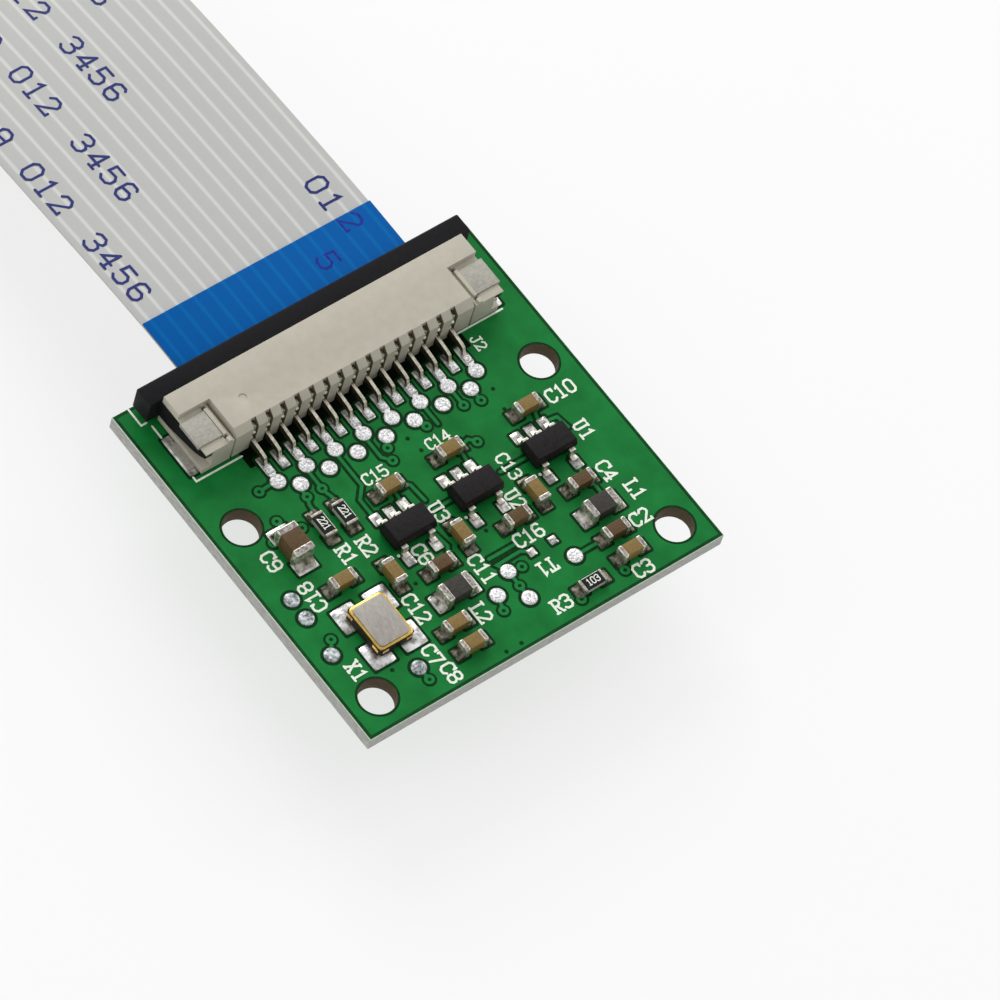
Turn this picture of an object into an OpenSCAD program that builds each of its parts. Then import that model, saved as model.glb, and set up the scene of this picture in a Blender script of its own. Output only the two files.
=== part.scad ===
// Camera module: a small circuit board that lies on its lens, with its flat cable plugged in.
// Millimetres, +Z up, +X along the cable connector, +Y the way the cable leaves.
// The origin is below the middle of the board, level with the front rim of the lens.

/* [Board] */
// Width of the board, along the connector
board_w = 25; // [24.6:0.1:27]
// Length of the board
board_l = 24; // [23.8:0.1:26]
// Thickness of the board
board_t = 1.0; // [0.8:0.1:1.6]
// Diameter of the fixing holes
hole_d = 2.2; // [1.8:0.1:2.4]
// From the board's long sides to the middle of the holes
hole_inset = 2; // [1.9:0.1:2.4]
// Distance between the holes along the board
hole_pitch_y = 12.5; // [12:0.1:13]
// From the edge opposite the connector to the first row of holes
hole_setback = 2; // [1.8:0.1:2.4]
// Thickness of the tinned lands
land_t = 0.04; // [0.03:0.01:0.08]
// Diameter of the round test pads
test_pad_d = 0.95; // [0.7:0.05:1]

/* [Camera head] */
// From the connector's edge of the board to the lens axis
lens_setback = 9.5; // [9:0.1:10]
// Side of the square holder
holder_w = 8.5; // [8.2:0.1:9]
// Corner radius of the holder
holder_r = 0.6; // [0.2:0.1:1]
// Height of the holder's square base
holder_base_h = 2.2; // [2:0.1:2.8]
// Diameter of the holder's round tower
tower_d = 7.4; // [7:0.1:8]
// Height of the tower above the base
tower_h = 1.3; // [1:0.1:1.8]
// How far the barrel stands out of the tower
barrel_out = 1.0; // [0.6:0.1:1.4]
// Diameter of the barrel's threaded shank
barrel_d = 5.8; // [5.4:0.1:6]
// Diameter of the barrel's front rim
barrel_rim_d = 6.4; // [6:0.1:6.8]
// Wall between the barrel's rim and its recess
barrel_rim_wall = 0.8; // [0.5:0.1:1]
// Diameter of the lens opening
aperture_d = 1.6; // [1.2:0.1:2]
// Depth of the recess in front of the lens
recess_h = 0.6; // [0.4:0.1:0.8]
// Number of grip notches in the rim
rim_notches = 4; // [2:1:6]
// Diameter of the lens elements
element_d = 3.8; // [3.4:0.1:4.2]
// Thickness of the sensor board
sensor_board_t = 0.4; // [0.3:0.05:0.6]
// Thickness of the foam pad
foam_t = 0.6; // [0.4:0.1:1]
// Thickness of the flex
flex_t = 0.12; // [0.08:0.01:0.16]
// Width of the flex
flex_w = 5.6; // [4:0.1:6]

/* [Connector] */
// Number of contacts
ways = 15; // [12:1:15]
// Distance from contact to contact
pitch = 1.0; // [0.95:0.05:1.05]
// Width of the housing's low end beside the comb
housing_end_w = 2.1; // [2:0.05:2.4]
// Depth of the housing
housing_l = 4.1; // [4:0.1:4.4]
// Height of the housing above the board
housing_h = 2.55; // [2.5:0.05:2.9]
// Gap under the housing
housing_lift = 0.15; // [0.1:0.05:0.2]
// From the board's edge to the front of the housing
housing_setback = 1.5; // [1.45:0.05:1.8]
// Width of the comb's slots
comb_slot_w = 0.36; // [0.32:0.02:0.44]
// Thickness of the stamped contacts
contact_t = 0.2; // [0.15:0.01:0.24]
// How far the contacts' feet reach behind the housing
contact_reach = 1.95; // [1.8:0.05:2]
// Length of a contact's spring beam
beam_l = 2.2; // [2.1:0.05:2.3]
// How far the slider's bar stands past each end of the housing
slider_overhang = 0.8; // [0.6:0.05:0.9]
// Depth of the slider's bar
slider_bar_l = 1.3; // [1:0.05:1.35]
// Height of the slider's bar
slider_bar_h = 1.75; // [1.6:0.05:1.85]
// Width of the slider's side arms
slider_arm_w = 0.5; // [0.4:0.05:0.55]
// Thickness of the nails' sheet
nail_t = 0.15; // [0.1:0.01:0.18]

/* [Cable] */
// Width of the flat cable
cable_w = 16; // [15.6:0.1:16]
// Thickness of the flat cable
cable_t = 0.2; // [0.15:0.01:0.22]
// Thickness of the stiffeners
stiffener_t = 0.12; // [0.08:0.01:0.14]
// Length of the stiffener at the board's end
stiffener_near_l = 7.9; // [7:0.1:8.4]
// Length of the stiffener at the free end
stiffener_far_l = 6; // [4:0.5:8]
// Length of bare conductor at each end
bare_l = 4; // [3:0.1:4.4]
// Width of each conductor
conductor_w = 0.6; // [0.4:0.05:0.7]

/* [Chips] */
// Length of a small chip capacitor
cap_l = 1.6; // [1.4:0.05:1.7]
// Width of a small chip capacitor
cap_w = 0.8; // [0.6:0.05:0.85]
// Height of a small chip capacitor
cap_h = 0.8; // [0.6:0.05:0.9]
// Length of the large chip capacitor
big_cap_l = 2.0; // [1.9:0.05:2.2]
// Width of the large chip capacitor
big_cap_w = 1.3; // [1.2:0.05:1.4]
// Height of the large chip capacitor
big_cap_h = 1.25; // [0.9:0.05:1.4]
// Height of a chip resistor
res_h = 0.48; // [0.4:0.02:0.56]
// Length of a chip inductor
ind_l = 2.0; // [1.8:0.05:2.1]
// Width of a chip inductor
ind_w = 1.2; // [1:0.05:1.3]
// Height of a chip inductor
ind_h = 0.95; // [0.8:0.05:1.1]
// Length of the end caps on the small chips
terminal_l = 0.36; // [0.25:0.01:0.4]
// How far the end caps stand proud of the ceramic
terminal_proud = 0.02; // [0.01:0.01:0.04]

/* [Regulators] */
// Length of a regulator's body
reg_w = 2.9; // [2.8:0.05:3]
// Width of a regulator's body
reg_l = 1.6; // [1.5:0.05:1.7]
// Height of a regulator above the board
reg_h = 1.15; // [1:0.05:1.3]
// Distance from toe to toe of the leads
reg_span = 2.8; // [2.6:0.05:3]
// Distance from lead to lead
reg_pitch = 0.95; // [0.9:0.05:1]
// Width of the leads
reg_lead_w = 0.4; // [0.3:0.02:0.44]
// Thickness of the leads
reg_lead_t = 0.15; // [0.1:0.01:0.18]

/* [Crystal] */
// Width of the crystal's package
crystal_w = 2.5; // [2.4:0.05:2.6]
// Length of the crystal's package
crystal_l = 3.2; // [3:0.05:3.3]
// Height of the ceramic base
crystal_base_h = 0.55; // [0.4:0.05:0.7]
// Height of the gold seal ring
crystal_ring_h = 0.12; // [0.08:0.02:0.16]
// Thickness of the lid
crystal_lid_t = 0.1; // [0.06:0.02:0.14]

/* [Hidden] */
$fn = 64;
eps = 0.01;
slide_gap = 0.05;      // running gap round the slider
seat_gap = 0.02;       // gap between pieces that drop into each other

// Levels, from the lens rim up
z_tower = barrel_out;
z_base = z_tower + tower_h;
z_sensor = z_base + holder_base_h;
z_foam = z_sensor + sensor_board_t;
z_under = z_foam + foam_t;          // underside of the board
z_top = z_under + board_t;          // component side of the board
z_land = z_top + land_t;            // where soldered parts stand
lens_y = board_l / 2 - lens_setback;

// Fixing holes
hole_y0 = -board_l / 2 + hole_setback;
hole_pitch_x = board_w - 2 * hole_inset;
hole_spots = [for (sx = [-1, 1], row = [0, 1]) [sx * hole_pitch_x / 2, hole_y0 + row * hole_pitch_y]];

// Connector
front_y = board_l / 2 - housing_setback;
rear_y = front_y - housing_l;
pins = [for (i = [0 : ways - 1]) (i - (ways - 1) / 2) * pitch];
core_w = ways * pitch + 1.7;        // the tall middle of the housing
housing_w = core_w + 2 * housing_end_w;
notch_y = front_y - 1.4;            // where the end steps begin
step_h = housing_h - 0.45;          // top of the end blocks
slit_w = 0.15;                      // slit beside each end block
slider_w = housing_w + 2 * slider_overhang;
ridge_w = 0.24;                     // ridge beside each nail
ridge_h = 0.2;
ridge_x = core_w / 2 + 0.33;        // inner side of the ridge
chamfer_y = 0.44;                   // bevel along the rear edge
chamfer_z = 0.4;
print_t = 0.04;                     // thickness of the bare conductors
cable_up = 1.1;                     // middle of the cable above the board
cable_z = z_top + cable_up;
slot_floor = cable_up - cable_t / 2 - print_t - seat_gap;
slot_side = 0.1;                    // side gap of the cable in its slot
cable_stop_y = rear_y + 1.2;        // end of the cable in the housing
tongue_z = cable_up + cable_t / 2 + stiffener_t + slide_gap;
tongue_h = 0.45;
ceiling_z = tongue_z + tongue_h + slide_gap;
mouth_w = cable_w + 2 * slot_side;
beam_z = 0.45;                      // underside of the spring beams
beam_t = 0.24;
blade_slot_w = contact_t + 2 * slide_gap;
arm_z = 0.62;                       // underside of the arms at the bar
arm_top = step_h - 0.17;
arm_x = housing_w / 2 - slider_arm_w;
bar_z = 0.45;
slot_wall = 0.15;                   // roof over the arms

// Cable route: distance along the board, height and turn about its own line (degrees)
cable_start = [[cable_stop_y, cable_z, 0], [9, cable_z, 0], [11, cable_z, 0], [13, cable_z, 0]];
cable_rest = [
  [15, 7.58, 0.1], [17, 7.5, 0.3], [19.5, 7.35, 0.6], [22, 7.16, 0.9], [24.5, 6.96, 1.2],
  [27, 6.75, 1.4], [30, 6.47, 1.5], [33, 6.13, 1.5], [36, 5.72, 1.4], [39, 5.24, 1.3], [42, 4.68, 1.1],
  [45, 4.05, 0.9], [48, 3.4, 0.7], [51, 2.76, 0.5], [54, 2.15, 0.35], [57, 1.59, 0.2], [60, 1.1, 0.1],
  [63, 0.7, 0], [66, 0.41, 0], [70, 0.21, 0], [75, 0.16, 0], [85, 0.16, 0], [97, 0.16, 0],
  [110, 0.16, 0], [123, 0.16, 0], [136, 0.16, 0], [148, 0.16, 0], [156.7, 0.16, 0]
];
cable_route = concat(cable_start, cable_rest);
// Point on the route at a distance along the board
function on_route(y) =
  [y, lookup(y, [for (p = cable_route) [p[0], p[1]]]), lookup(y, [for (p = cable_route) [p[0], p[2]]])];
// The strip has a ring of its own where the near stiffener ends
stiffener_y = cable_stop_y + stiffener_near_l;
near_path = concat([for (p = cable_route) if (p[0] < stiffener_y - 0.1) p], [on_route(stiffener_y)]);
cable_path = concat(near_path, [for (p = cable_route) if (p[0] > stiffener_y + 0.1) p]);
cable_end = cable_path[len(cable_path) - 1];

// Regulators: middle of each body on the board
reg_spots = [[-2.8, -2.5], [1.95, -2.5], [7.25, -2.4]];
reg_side = 0.1;                     // draft of the body's walls
reg_foot = 0.45;                    // length of a lead's foot
crystal_spot = [-7.8, -6.55];
crystal_land = [1.5, 1.65];
inductor_spots = [[-2.9, -7.1], [7.4, -7.05]];
big_cap_spot = [-8.95, -0.1];
resistor_spots = [[-6.65, 0.15, 90], [-5.2, 0.15, 90], [4.05, -10.6, 0]];
capacitor_spots = [
  [7.85, 0.35, 0], [2.3, 0.35, 0], [-2.05, 0.2, 0], [4.9, -4.35, 90], [-0.4, -4.35, 90],
  [-5.2, -4.35, 90], [7.45, -5.15, 0], [2.9, -5.15, 0], [-2.6, -5.35, 0], [7.15, -8.7, 0],
  [7.15, -10.15, 0], [-4.2, -8.8, 0], [-4.15, -10.25, 0], [-7.95, -3.3, 0]
];
test_spots = [
  [-10.9, -2.65], [-10.9, -4], [-11.1, -6.6], [-7.45, -9.75], [-0.9, -8.4], [0.55, -7.5],
  [0.55, -9.45], [4.4, -8.65]
];
spare_lands = [[2.45, -7.2], [3.95, -7.2]];
disc_rows = [rear_y - contact_reach - 0.6, rear_y - contact_reach - 1.4];
light_spot = [8.6, -6.2];
light_resistor_spot = [8.6, -8.6];
flex_y = -6.2;                      // middle of the plug on the lens side
plug_size = [7.4, 2.4];

// ---- shared shapes ----

// A plate with rounded corners, standing on z = 0
module rounded_plate(w, l, r, h)
  linear_extrude(h) {
    square([w - 2 * r, l], center = true);
    square([w, l - 2 * r], center = true);
    for (sx = [-1, 1], sy = [-1, 1]) translate([sx * (w / 2 - r), sy * (l / 2 - r)]) circle(r);
  }

// A box that is centred in X and Y, from z0 to z1
module slab(w, l, z0, z1) translate([-w / 2, -l / 2, z0]) cube([w, l, z1 - z0]);

// A profile drawn in Y and Z, given a thickness along X
module side_profile(points, t)
  rotate([90, 0, 90]) linear_extrude(t, center = true) polygon(points);

module place(spot, z, turn = 0) translate([spot[0], spot[1], z]) rotate(turn) children();

// Chip part: ceramic block with an end cap on each end, standing on z = 0
module chip(l, w, h, cap) {
  p = terminal_proud;
  slab(l - 2 * p, w - 2 * p, p, h - p);
  for (s = [-1, 1]) translate([s * (l - cap) / 2, 0, 0]) slab(cap, w, 0, h);
}

// Two lands under a chip part
module chip_lands(spot, l, w, out, turn = 0)
  place(spot, z_top, turn)
    for (s = [-1, 1]) translate([s * (l / 2 + out / 2 - terminal_l / 2), 0, 0])
      slab(terminal_l + out, w, 0, land_t);

// ---- circuit board ----

module circuit_board() color("forestgreen")
  difference() {
    translate([0, 0, z_under]) slab(board_w, board_l, 0, board_t);
    for (p = hole_spots) translate([p[0], p[1], z_under - eps]) cylinder(d = hole_d, h = board_t + 2 * eps);
  }

contact_land_l = 1.3;               // land under each contact's foot
foot_y = rear_y - contact_reach;    // toe of each contact
nail_land = [0.75, 2.8];

module component_lands() color("silver") {
  for (x = pins) translate([x, foot_y - 0.1 + contact_land_l / 2, z_top]) slab(0.55, contact_land_l, 0, land_t);
  for (s = [-1, 1]) translate([s * (housing_w / 2 + 0.2), rear_y + 1.6, z_top])
    slab(nail_land[0], nail_land[1], 0, land_t);
  for (p = capacitor_spots) chip_lands(p, cap_l, cap_w, 0.4, p[2]);
  for (p = resistor_spots) chip_lands(p, cap_l, cap_w, 0.4, p[2]);
  for (p = inductor_spots) chip_lands(p, ind_l, ind_w, 0.5);
  chip_lands(big_cap_spot, big_cap_l, big_cap_w + 0.1, 0.6, 90);
  for (p = reg_spots) place(p, z_top) {
    for (i = [-1 : 1]) translate([i * reg_pitch, reg_span / 2 + 0.1, 0]) slab(0.62, 0.75, 0, land_t);
    for (i = [-1, 1]) translate([i * reg_pitch, -reg_span / 2 - 0.1, 0]) slab(0.62, 0.75, 0, land_t);
  }
  place(crystal_spot, z_top) for (sx = [-1, 1], sy = [-1, 1])
    translate([sx * 1.1, sy * 1.32, 0]) slab(crystal_land[0], crystal_land[1], 0, land_t);
  for (p = spare_lands) place(p, z_top) slab(0.5, 0.5, 0, land_t);
}

module test_pads() color("silver") {
  for (p = test_spots) place(p, z_top) cylinder(d = test_pad_d, h = land_t);
  for (i = [0 : ways - 1]) place([pins[i], disc_rows[i % 2]], z_top) cylinder(d = test_pad_d, h = land_t);
}

// ---- cable connector ----

// Housing seen from the side: the tall middle, bevelled along its rear edge
module housing_core() translate([0, 0, z_top])
  side_profile([[rear_y, housing_lift], [front_y, housing_lift], [front_y, housing_h],
    [rear_y + chamfer_y, housing_h], [rear_y, housing_h - chamfer_z]], core_w);

module housing_end() {
  // block behind the front wall, lower than the middle
  translate([core_w / 2 + slit_w, rear_y, z_top + housing_lift])
    cube([housing_w / 2 - core_w / 2 - slit_w, housing_l, step_h - housing_lift]);
  // full height part along the front
  translate([core_w / 2 - eps, notch_y, z_top + housing_lift])
    cube([housing_w / 2 - core_w / 2 + eps, front_y - notch_y, housing_h - housing_lift]);
  // ridge beside the nail
  translate([ridge_x, rear_y, z_top + step_h - eps]) cube([ridge_w, notch_y - rear_y, ridge_h + eps]);
}

// What one end block loses: the arm's channel, the nail's slot and its pockets
module housing_end_cuts() {
  translate([arm_x - slide_gap, rear_y - eps, z_top + arm_z - slide_gap])
    cube([slider_arm_w + slide_gap + 1, housing_l + 2 * eps, arm_top - arm_z + 2 * slide_gap]);
  translate([ridge_x + ridge_w, rear_y + 0.55 - seat_gap, z_top - eps])
    cube([nail_t + seat_gap, nail_l + 2 * seat_gap, step_h + 1]);
  translate([ridge_x + ridge_w, rear_y + 0.55 - seat_gap, z_top - eps])
    cube([3, nail_l + 2 * seat_gap, nail_t + land_t + seat_gap + eps]);
  for (y = [rear_y + 0.3, notch_y - 0.28]) translate([ridge_x - eps, y, z_top + step_h - 0.5])
    cube([ridge_w + 2 * eps, 0.22, 1]);
}

module comb_cuts() for (x = pins) translate([x, 0, z_top]) {
  // open slot at the rear, with the spine of the contact in it
  translate([-comb_slot_w / 2, rear_y - eps, -eps]) cube([comb_slot_w, 0.46, housing_h + 1]);
  translate([-blade_slot_w / 2, rear_y - eps, -eps]) cube([blade_slot_w, 0.75, housing_h - 0.3 + eps]);
  // groove for the spring beam, and one for the upper arm
  translate([-blade_slot_w / 2, rear_y, beam_z - slide_gap])
    cube([blade_slot_w, 3.5, slot_floor - beam_z + slide_gap + eps]);
  translate([-blade_slot_w / 2, rear_y, ceiling_z - eps]) cube([blade_slot_w, 1.9, 0.27]);
}

module connector_housing() color("antiquewhite")
  difference() {
    union() {
      housing_core();
      housing_end();
      mirror([1, 0, 0]) housing_end();
    }
    housing_end_cuts();
    mirror([1, 0, 0]) housing_end_cuts();
    comb_cuts();
    // slot for the cable and the slider's tongue
    translate([-mouth_w / 2, cable_stop_y - slide_gap, z_top + slot_floor])
      cube([mouth_w, front_y - cable_stop_y + 1, ceiling_z - slot_floor]);
    // mark of the moulding gate on the top
    translate([-0.32 * housing_w, rear_y + 1.8, z_top + housing_h - 0.06]) cylinder(d = 0.5, h = 1);
  }

nail_l = 1.8;                       // length of each nail along the housing
module connector_nail()
  translate([0, rear_y + 0.55, 0]) {
    x0 = ridge_x + ridge_w + seat_gap / 2;
    // top plate, bent over the outer edge
    translate([x0, 0, z_top + step_h]) cube([housing_w / 2 - x0 + nail_t, nail_l, nail_t]);
    translate([housing_w / 2, 0, z_top + step_h - 0.12]) cube([nail_t, nail_l, 0.12 + nail_t]);
    // leg through the housing, and foot on its land
    translate([x0, 0, z_land]) cube([nail_t - seat_gap / 2, nail_l, step_h + nail_t / 2 - land_t]);
    translate([x0, 0, z_land]) cube([housing_w / 2 + 0.45 - x0, nail_l, nail_t]);
  }

module connector_nails() color("gainsboro") {
  connector_nail();
  mirror([1, 0, 0]) connector_nail();
}

contact_foot_l = 0.6;
contact_bend = 0.25;
foot_end = contact_foot_l - contact_reach;
beam_end = beam_l + 0.3;
module connector_contacts() color("silver")
  for (x = pins) translate([x, rear_y, z_top])
    side_profile([
      [-contact_reach, land_t], [foot_end, land_t], [foot_end + contact_bend, 0.3], [0.12, 0.3], [0.3, beam_z],
      [beam_end, beam_z], [beam_end + 0.7, beam_z + 0.22], [beam_end + 0.8, slot_floor + seat_gap - 0.03],
      [beam_end + 0.6, slot_floor + seat_gap], [beam_end + 0.35, slot_floor + seat_gap - 0.05],
      [beam_end - 0.1, beam_z + beam_t], [0.62, beam_z + beam_t + 0.05],
      [0.55, ceiling_z], [1.8, ceiling_z], [1.8, ceiling_z + 0.2], [0.12, ceiling_z + 0.2],
      [0.12, 1.6], [0.02, 1.5], [0.02, 1.35], [0.12, 1.25], [0.12, 0.9],
      [-0.3, 0.85], [foot_end + 0.35, 0.76], [foot_end + 0.1, 0.66], [foot_end - 0.05, 0.22], [-contact_reach, 0.18]
    ], contact_t);

module slider_arm() {
  base_y = front_y + slide_gap + eps;
  tip_y = rear_y + 0.05;
  translate([arm_x + slider_arm_w / 2, 0, z_top]) difference() {
    side_profile([[base_y, arm_z], [base_y - 1, arm_z], [tip_y + 0.9, arm_z + 0.5], [tip_y + 0.3, arm_z + 0.8],
      [tip_y, arm_z + 1], [tip_y, arm_top], [base_y, arm_top]], slider_arm_w);
  }
}

module connector_slider() color("#232326") {
  bar_y = front_y + slide_gap;
  difference() {
    translate([-slider_w / 2, bar_y, z_top + bar_z]) cube([slider_w, slider_bar_l, slider_bar_h]);
    // tunnel for the cable
    translate([-mouth_w / 2, bar_y - eps, z_top + bar_z - eps])
      cube([mouth_w, slider_bar_l + 2 * eps, tongue_z - bar_z + eps]);
    // finger bevels at the front corners
    translate([0, bar_y + slider_bar_l, z_top + bar_z + slider_bar_h]) rotate([45, 0, 0])
      cube([slider_w + 1, 0.14, 0.14], center = true);
  }
  // tongue that presses the cable on the contacts, thinner towards its tip
  translate([0, 0, z_top])
    side_profile([[bar_y + eps, tongue_z], [bar_y + eps, tongue_z + tongue_h],
      [cable_stop_y + 1, tongue_z + tongue_h], [cable_stop_y + 0.3, tongue_z + 0.2],
      [cable_stop_y + 0.3, tongue_z]], cable_w - 2 * slot_side);
  slider_arm();
  mirror([1, 0, 0]) slider_arm();
}

// ---- flat cable ----

// Four corners of the strip where the route passes a point: x across, n out of its face
function strip_ring(p, w, n0, n1) = [
  for (c = [[-w / 2, n0], [w / 2, n0], [w / 2, n1], [-w / 2, n1]])
    [c[0] * cos(p[2]) - c[1] * sin(p[2]), p[0], p[1] + c[0] * sin(p[2]) + c[1] * cos(p[2])]
];

// Closed strip swept along a route
module strip(path, w, n0, n1) {
  last = len(path) - 1;
  points = [for (p = path) each strip_ring(p, w, n0, n1)];
  // opposite faces share their diagonals, so that strips lie on each other without a gap
  sides = [for (i = [0 : last - 1], k = [0 : 3]) let (a = 4 * i + k, b = 4 * i + (k + 1) % 4)
    each (k < 2 ? [[a, b, a + 4], [b, b + 4, a + 4]] : [[a, b, b + 4], [a, b + 4, a + 4]])];
  caps = [[2, 1, 0], [3, 2, 0], [4 * last, 4 * last + 1, 4 * last + 2], [4 * last, 4 * last + 2, 4 * last + 3]];
  polyhedron(points, concat(sides, caps));
}

module flat_cable() color("white") strip(cable_path, cable_w, -cable_t / 2, cable_t / 2);

module cable_stiffener_near() color("royalblue")
  strip(near_path, cable_w, cable_t / 2, cable_t / 2 + stiffener_t);

module cable_stiffener_far() color("royalblue")
  translate([0, cable_end[0] - stiffener_far_l / 2, cable_end[1] + cable_t / 2])
    slab(cable_w, stiffener_far_l, 0, stiffener_t);

module conductors(y0, z)
  for (x = pins) translate([x, y0 + bare_l / 2, z - cable_t / 2 - print_t]) slab(conductor_w, bare_l, 0, print_t);

module cable_conductors_near() color("silver") conductors(cable_stop_y, cable_z);
module cable_conductors_far() color("silver") conductors(cable_end[0] - bare_l, cable_end[1]);

// ---- regulators ----

// Moulded body with drafted walls above and below its parting line
module regulator_body(i) color("#2a2426") place(reg_spots[i], z_top) {
  d = reg_side;
  z0 = 0.1;
  zm = reg_h / 2;
  intersection() {
    side_profile([[-reg_l / 2 + d, z0], [reg_l / 2 - d, z0], [reg_l / 2, zm], [reg_l / 2 - d, reg_h],
      [-reg_l / 2 + d, reg_h], [-reg_l / 2, zm]], reg_w + 1);
    rotate(90) side_profile([[-reg_w / 2 + d, z0], [reg_w / 2 - d, z0], [reg_w / 2, zm],
      [reg_w / 2 - d, reg_h], [-reg_w / 2 + d, reg_h], [-reg_w / 2, zm]], reg_l + 1);
  }
}

// Gull-wing lead on the +Y side of a body
module regulator_lead() {
  y0 = reg_l / 2;
  y1 = reg_span / 2;
  t = reg_lead_t;
  zm = reg_h / 2;
  side_profile([[y0, zm - t / 2], [y0 + 0.12, zm - t / 2], [y1 - reg_foot, land_t + 0.08],
    [y1 - reg_foot + 0.06, land_t], [y1, land_t], [y1, land_t + t], [y1 - reg_foot + t, land_t + t],
    [y0 + 0.1 + t, zm + t / 2], [y0, zm + t / 2]], reg_lead_w);
}

module regulator_leads(i) color("silver") place(reg_spots[i], z_top) {
  for (k = [-1 : 1]) translate([k * reg_pitch, 0, 0]) regulator_lead();
  for (k = [-1, 1]) translate([k * reg_pitch, 0, 0]) mirror([0, 1, 0]) regulator_lead();
}

// ---- crystal ----

module crystal_base() color("#2b2523") place(crystal_spot, z_land)
  difference() {
    slab(crystal_w, crystal_l, 0, crystal_base_h);
    for (sx = [-1, 1], sy = [-1, 1])
      translate([sx * crystal_w / 2, sy * crystal_l / 2, -eps]) cylinder(d = 0.4, h = crystal_base_h + 2 * eps);
    for (sy = [-1, 1]) translate([0, sy * (crystal_l / 2 + 0.1), -eps])
      cylinder(d = 0.4, h = crystal_base_h + 2 * eps);
  }

module crystal_ring() color("goldenrod") place(crystal_spot, z_land + crystal_base_h)
  difference() {
    rounded_plate(crystal_w - 0.12, crystal_l - 0.12, 0.3, crystal_ring_h);
    translate([0, 0, -eps]) rounded_plate(crystal_w - 0.7, crystal_l - 0.7, 0.2, crystal_ring_h + 2 * eps);
  }

module crystal_lid() color("darkgray") place(crystal_spot, z_land + crystal_base_h + crystal_ring_h)
  rounded_plate(crystal_w - 0.42, crystal_l - 0.42, 0.25, crystal_lid_t);

// ---- chip parts ----

module inductor(i) color("dimgray") place(inductor_spots[i], z_land) chip(ind_l, ind_w, ind_h, 0.42);
module capacitor(i) color("peru") place(capacitor_spots[i], z_land, capacitor_spots[i][2])
  chip(cap_l, cap_w, cap_h, terminal_l);
module large_capacitor() color("saddlebrown") place(big_cap_spot, z_land, 90)
  chip(big_cap_l, big_cap_w, big_cap_h, 0.45);
module resistor(i) color("#202020") place(resistor_spots[i], z_land, resistor_spots[i][2])
  chip(cap_l, cap_w, res_h, 0.3);

// ---- camera head, on the lens side ----

barrel_top = z_base + 0.7;          // inner end of the barrel
ledge_z = z_base + 1.0;             // ledge that carries the filter
shoulder_z = recess_h + 0.35;       // shoulder behind the lens opening
cavity_w = 6.2;
filter_w = 6;
filter_t = 0.3;
die_size = [5.5, 4.2];
die_t = 0.3;

module at_lens() translate([0, lens_y, 0]) children();

module foam_pad() color("#3a3a3a") at_lens() translate([0, 0, z_foam])
  rounded_plate(holder_w - 0.4, holder_w - 0.4, 0.3, foam_t);
module sensor_board() color("darkkhaki") at_lens() slab(holder_w, holder_w, z_sensor, z_foam);
module image_sensor() color("#30404a") at_lens() slab(die_size[0], die_size[1], z_sensor - die_t, z_sensor);
module infrared_filter() color("lightcyan") at_lens() slab(filter_w, filter_w, ledge_z, ledge_z + filter_t);

module lens_holder() color("#1c1c1e") at_lens() difference() {
  union() {
    translate([0, 0, z_base]) rounded_plate(holder_w, holder_w, holder_r, holder_base_h);
    translate([0, 0, z_tower]) cylinder(d = tower_d, h = tower_h + 0.1);
  }
  translate([0, 0, z_tower - eps]) cylinder(d = barrel_d + 2 * seat_gap, h = ledge_z - z_tower + 2 * eps);
  slab(cavity_w, cavity_w, ledge_z, z_sensor + eps);
}

module lens_barrel() color("#151517") at_lens() difference() {
  rotate_extrude() polygon([
    [barrel_rim_d / 2 - barrel_rim_wall, 0], [barrel_rim_d / 2, 0], [barrel_rim_d / 2, barrel_out - 0.1],
    [barrel_d / 2, barrel_out - 0.1], [barrel_d / 2, barrel_top], [element_d / 2 + seat_gap, barrel_top],
    [element_d / 2 + seat_gap, shoulder_z], [aperture_d / 2, shoulder_z], [aperture_d / 2, recess_h]
  ]);
  for (k = [0 : rim_notches - 1]) rotate(k * 360 / rim_notches + 45)
    translate([barrel_rim_d / 2 - 0.4, -0.35, -eps]) cube([1, 0.7, 0.35]);
}

// Face of a lens element: domed by its sag inside one radius, flat outside it
function dome(r, z, sag, n = 8) = [for (i = [0 : n]) [r * i / n, z + sag * (1 - pow(i / n, 2))]];
module lens_element(z0, z1, sag0, sag1, r0 = element_d / 2, r1 = element_d / 2) at_lens()
  rotate_extrude() polygon(concat(dome(r0, z0, sag0), r0 < element_d / 2 ? [[element_d / 2, z0]] : [],
    r1 < element_d / 2 ? [[element_d / 2, z1]] : [], [for (i = [8 : -1 : 0]) dome(r1, z1, sag1)[i]]));

middle_z = shoulder_z + 0.57;
rear_z = middle_z + 0.5;
module lens_front() color("lightblue")
  lens_element(shoulder_z, middle_z - 0.12, -0.12, 0.1, r0 = aperture_d / 2 - seat_gap);
module lens_middle() color("lightblue") lens_element(middle_z, rear_z - 0.12, 0.08, -0.12);
module lens_rear() color("lightblue") lens_element(rear_z, barrel_top - 0.2, -0.1, 0.12);

// ---- flex to the camera head ----

socket_h = 0.55;
plug_h = 0.35;
z_socket = z_under - socket_h;
z_plug = z_socket - plug_h;

module camera_flex() color("peru") {
  z0 = z_plug - flex_t;                          // under the plug
  z1 = z_sensor + (sensor_board_t - flex_t) / 2; // where it leaves the sensor board
  y1 = lens_y - holder_w / 2;
  yp = flex_y + plug_size[1] / 2;
  side_profile([[y1, z1], [y1, z1 + flex_t], [y1 - 0.7, z1 + flex_t], [yp + 0.6, z0 + flex_t],
    [yp - eps, z0 + flex_t], [yp - eps, z0], [yp + 0.6, z0], [y1 - 0.7, z1]], flex_w);
  translate([0, flex_y, z0]) rounded_plate(plug_size[0] + 0.4, plug_size[1], 0.4, flex_t);
}

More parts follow.
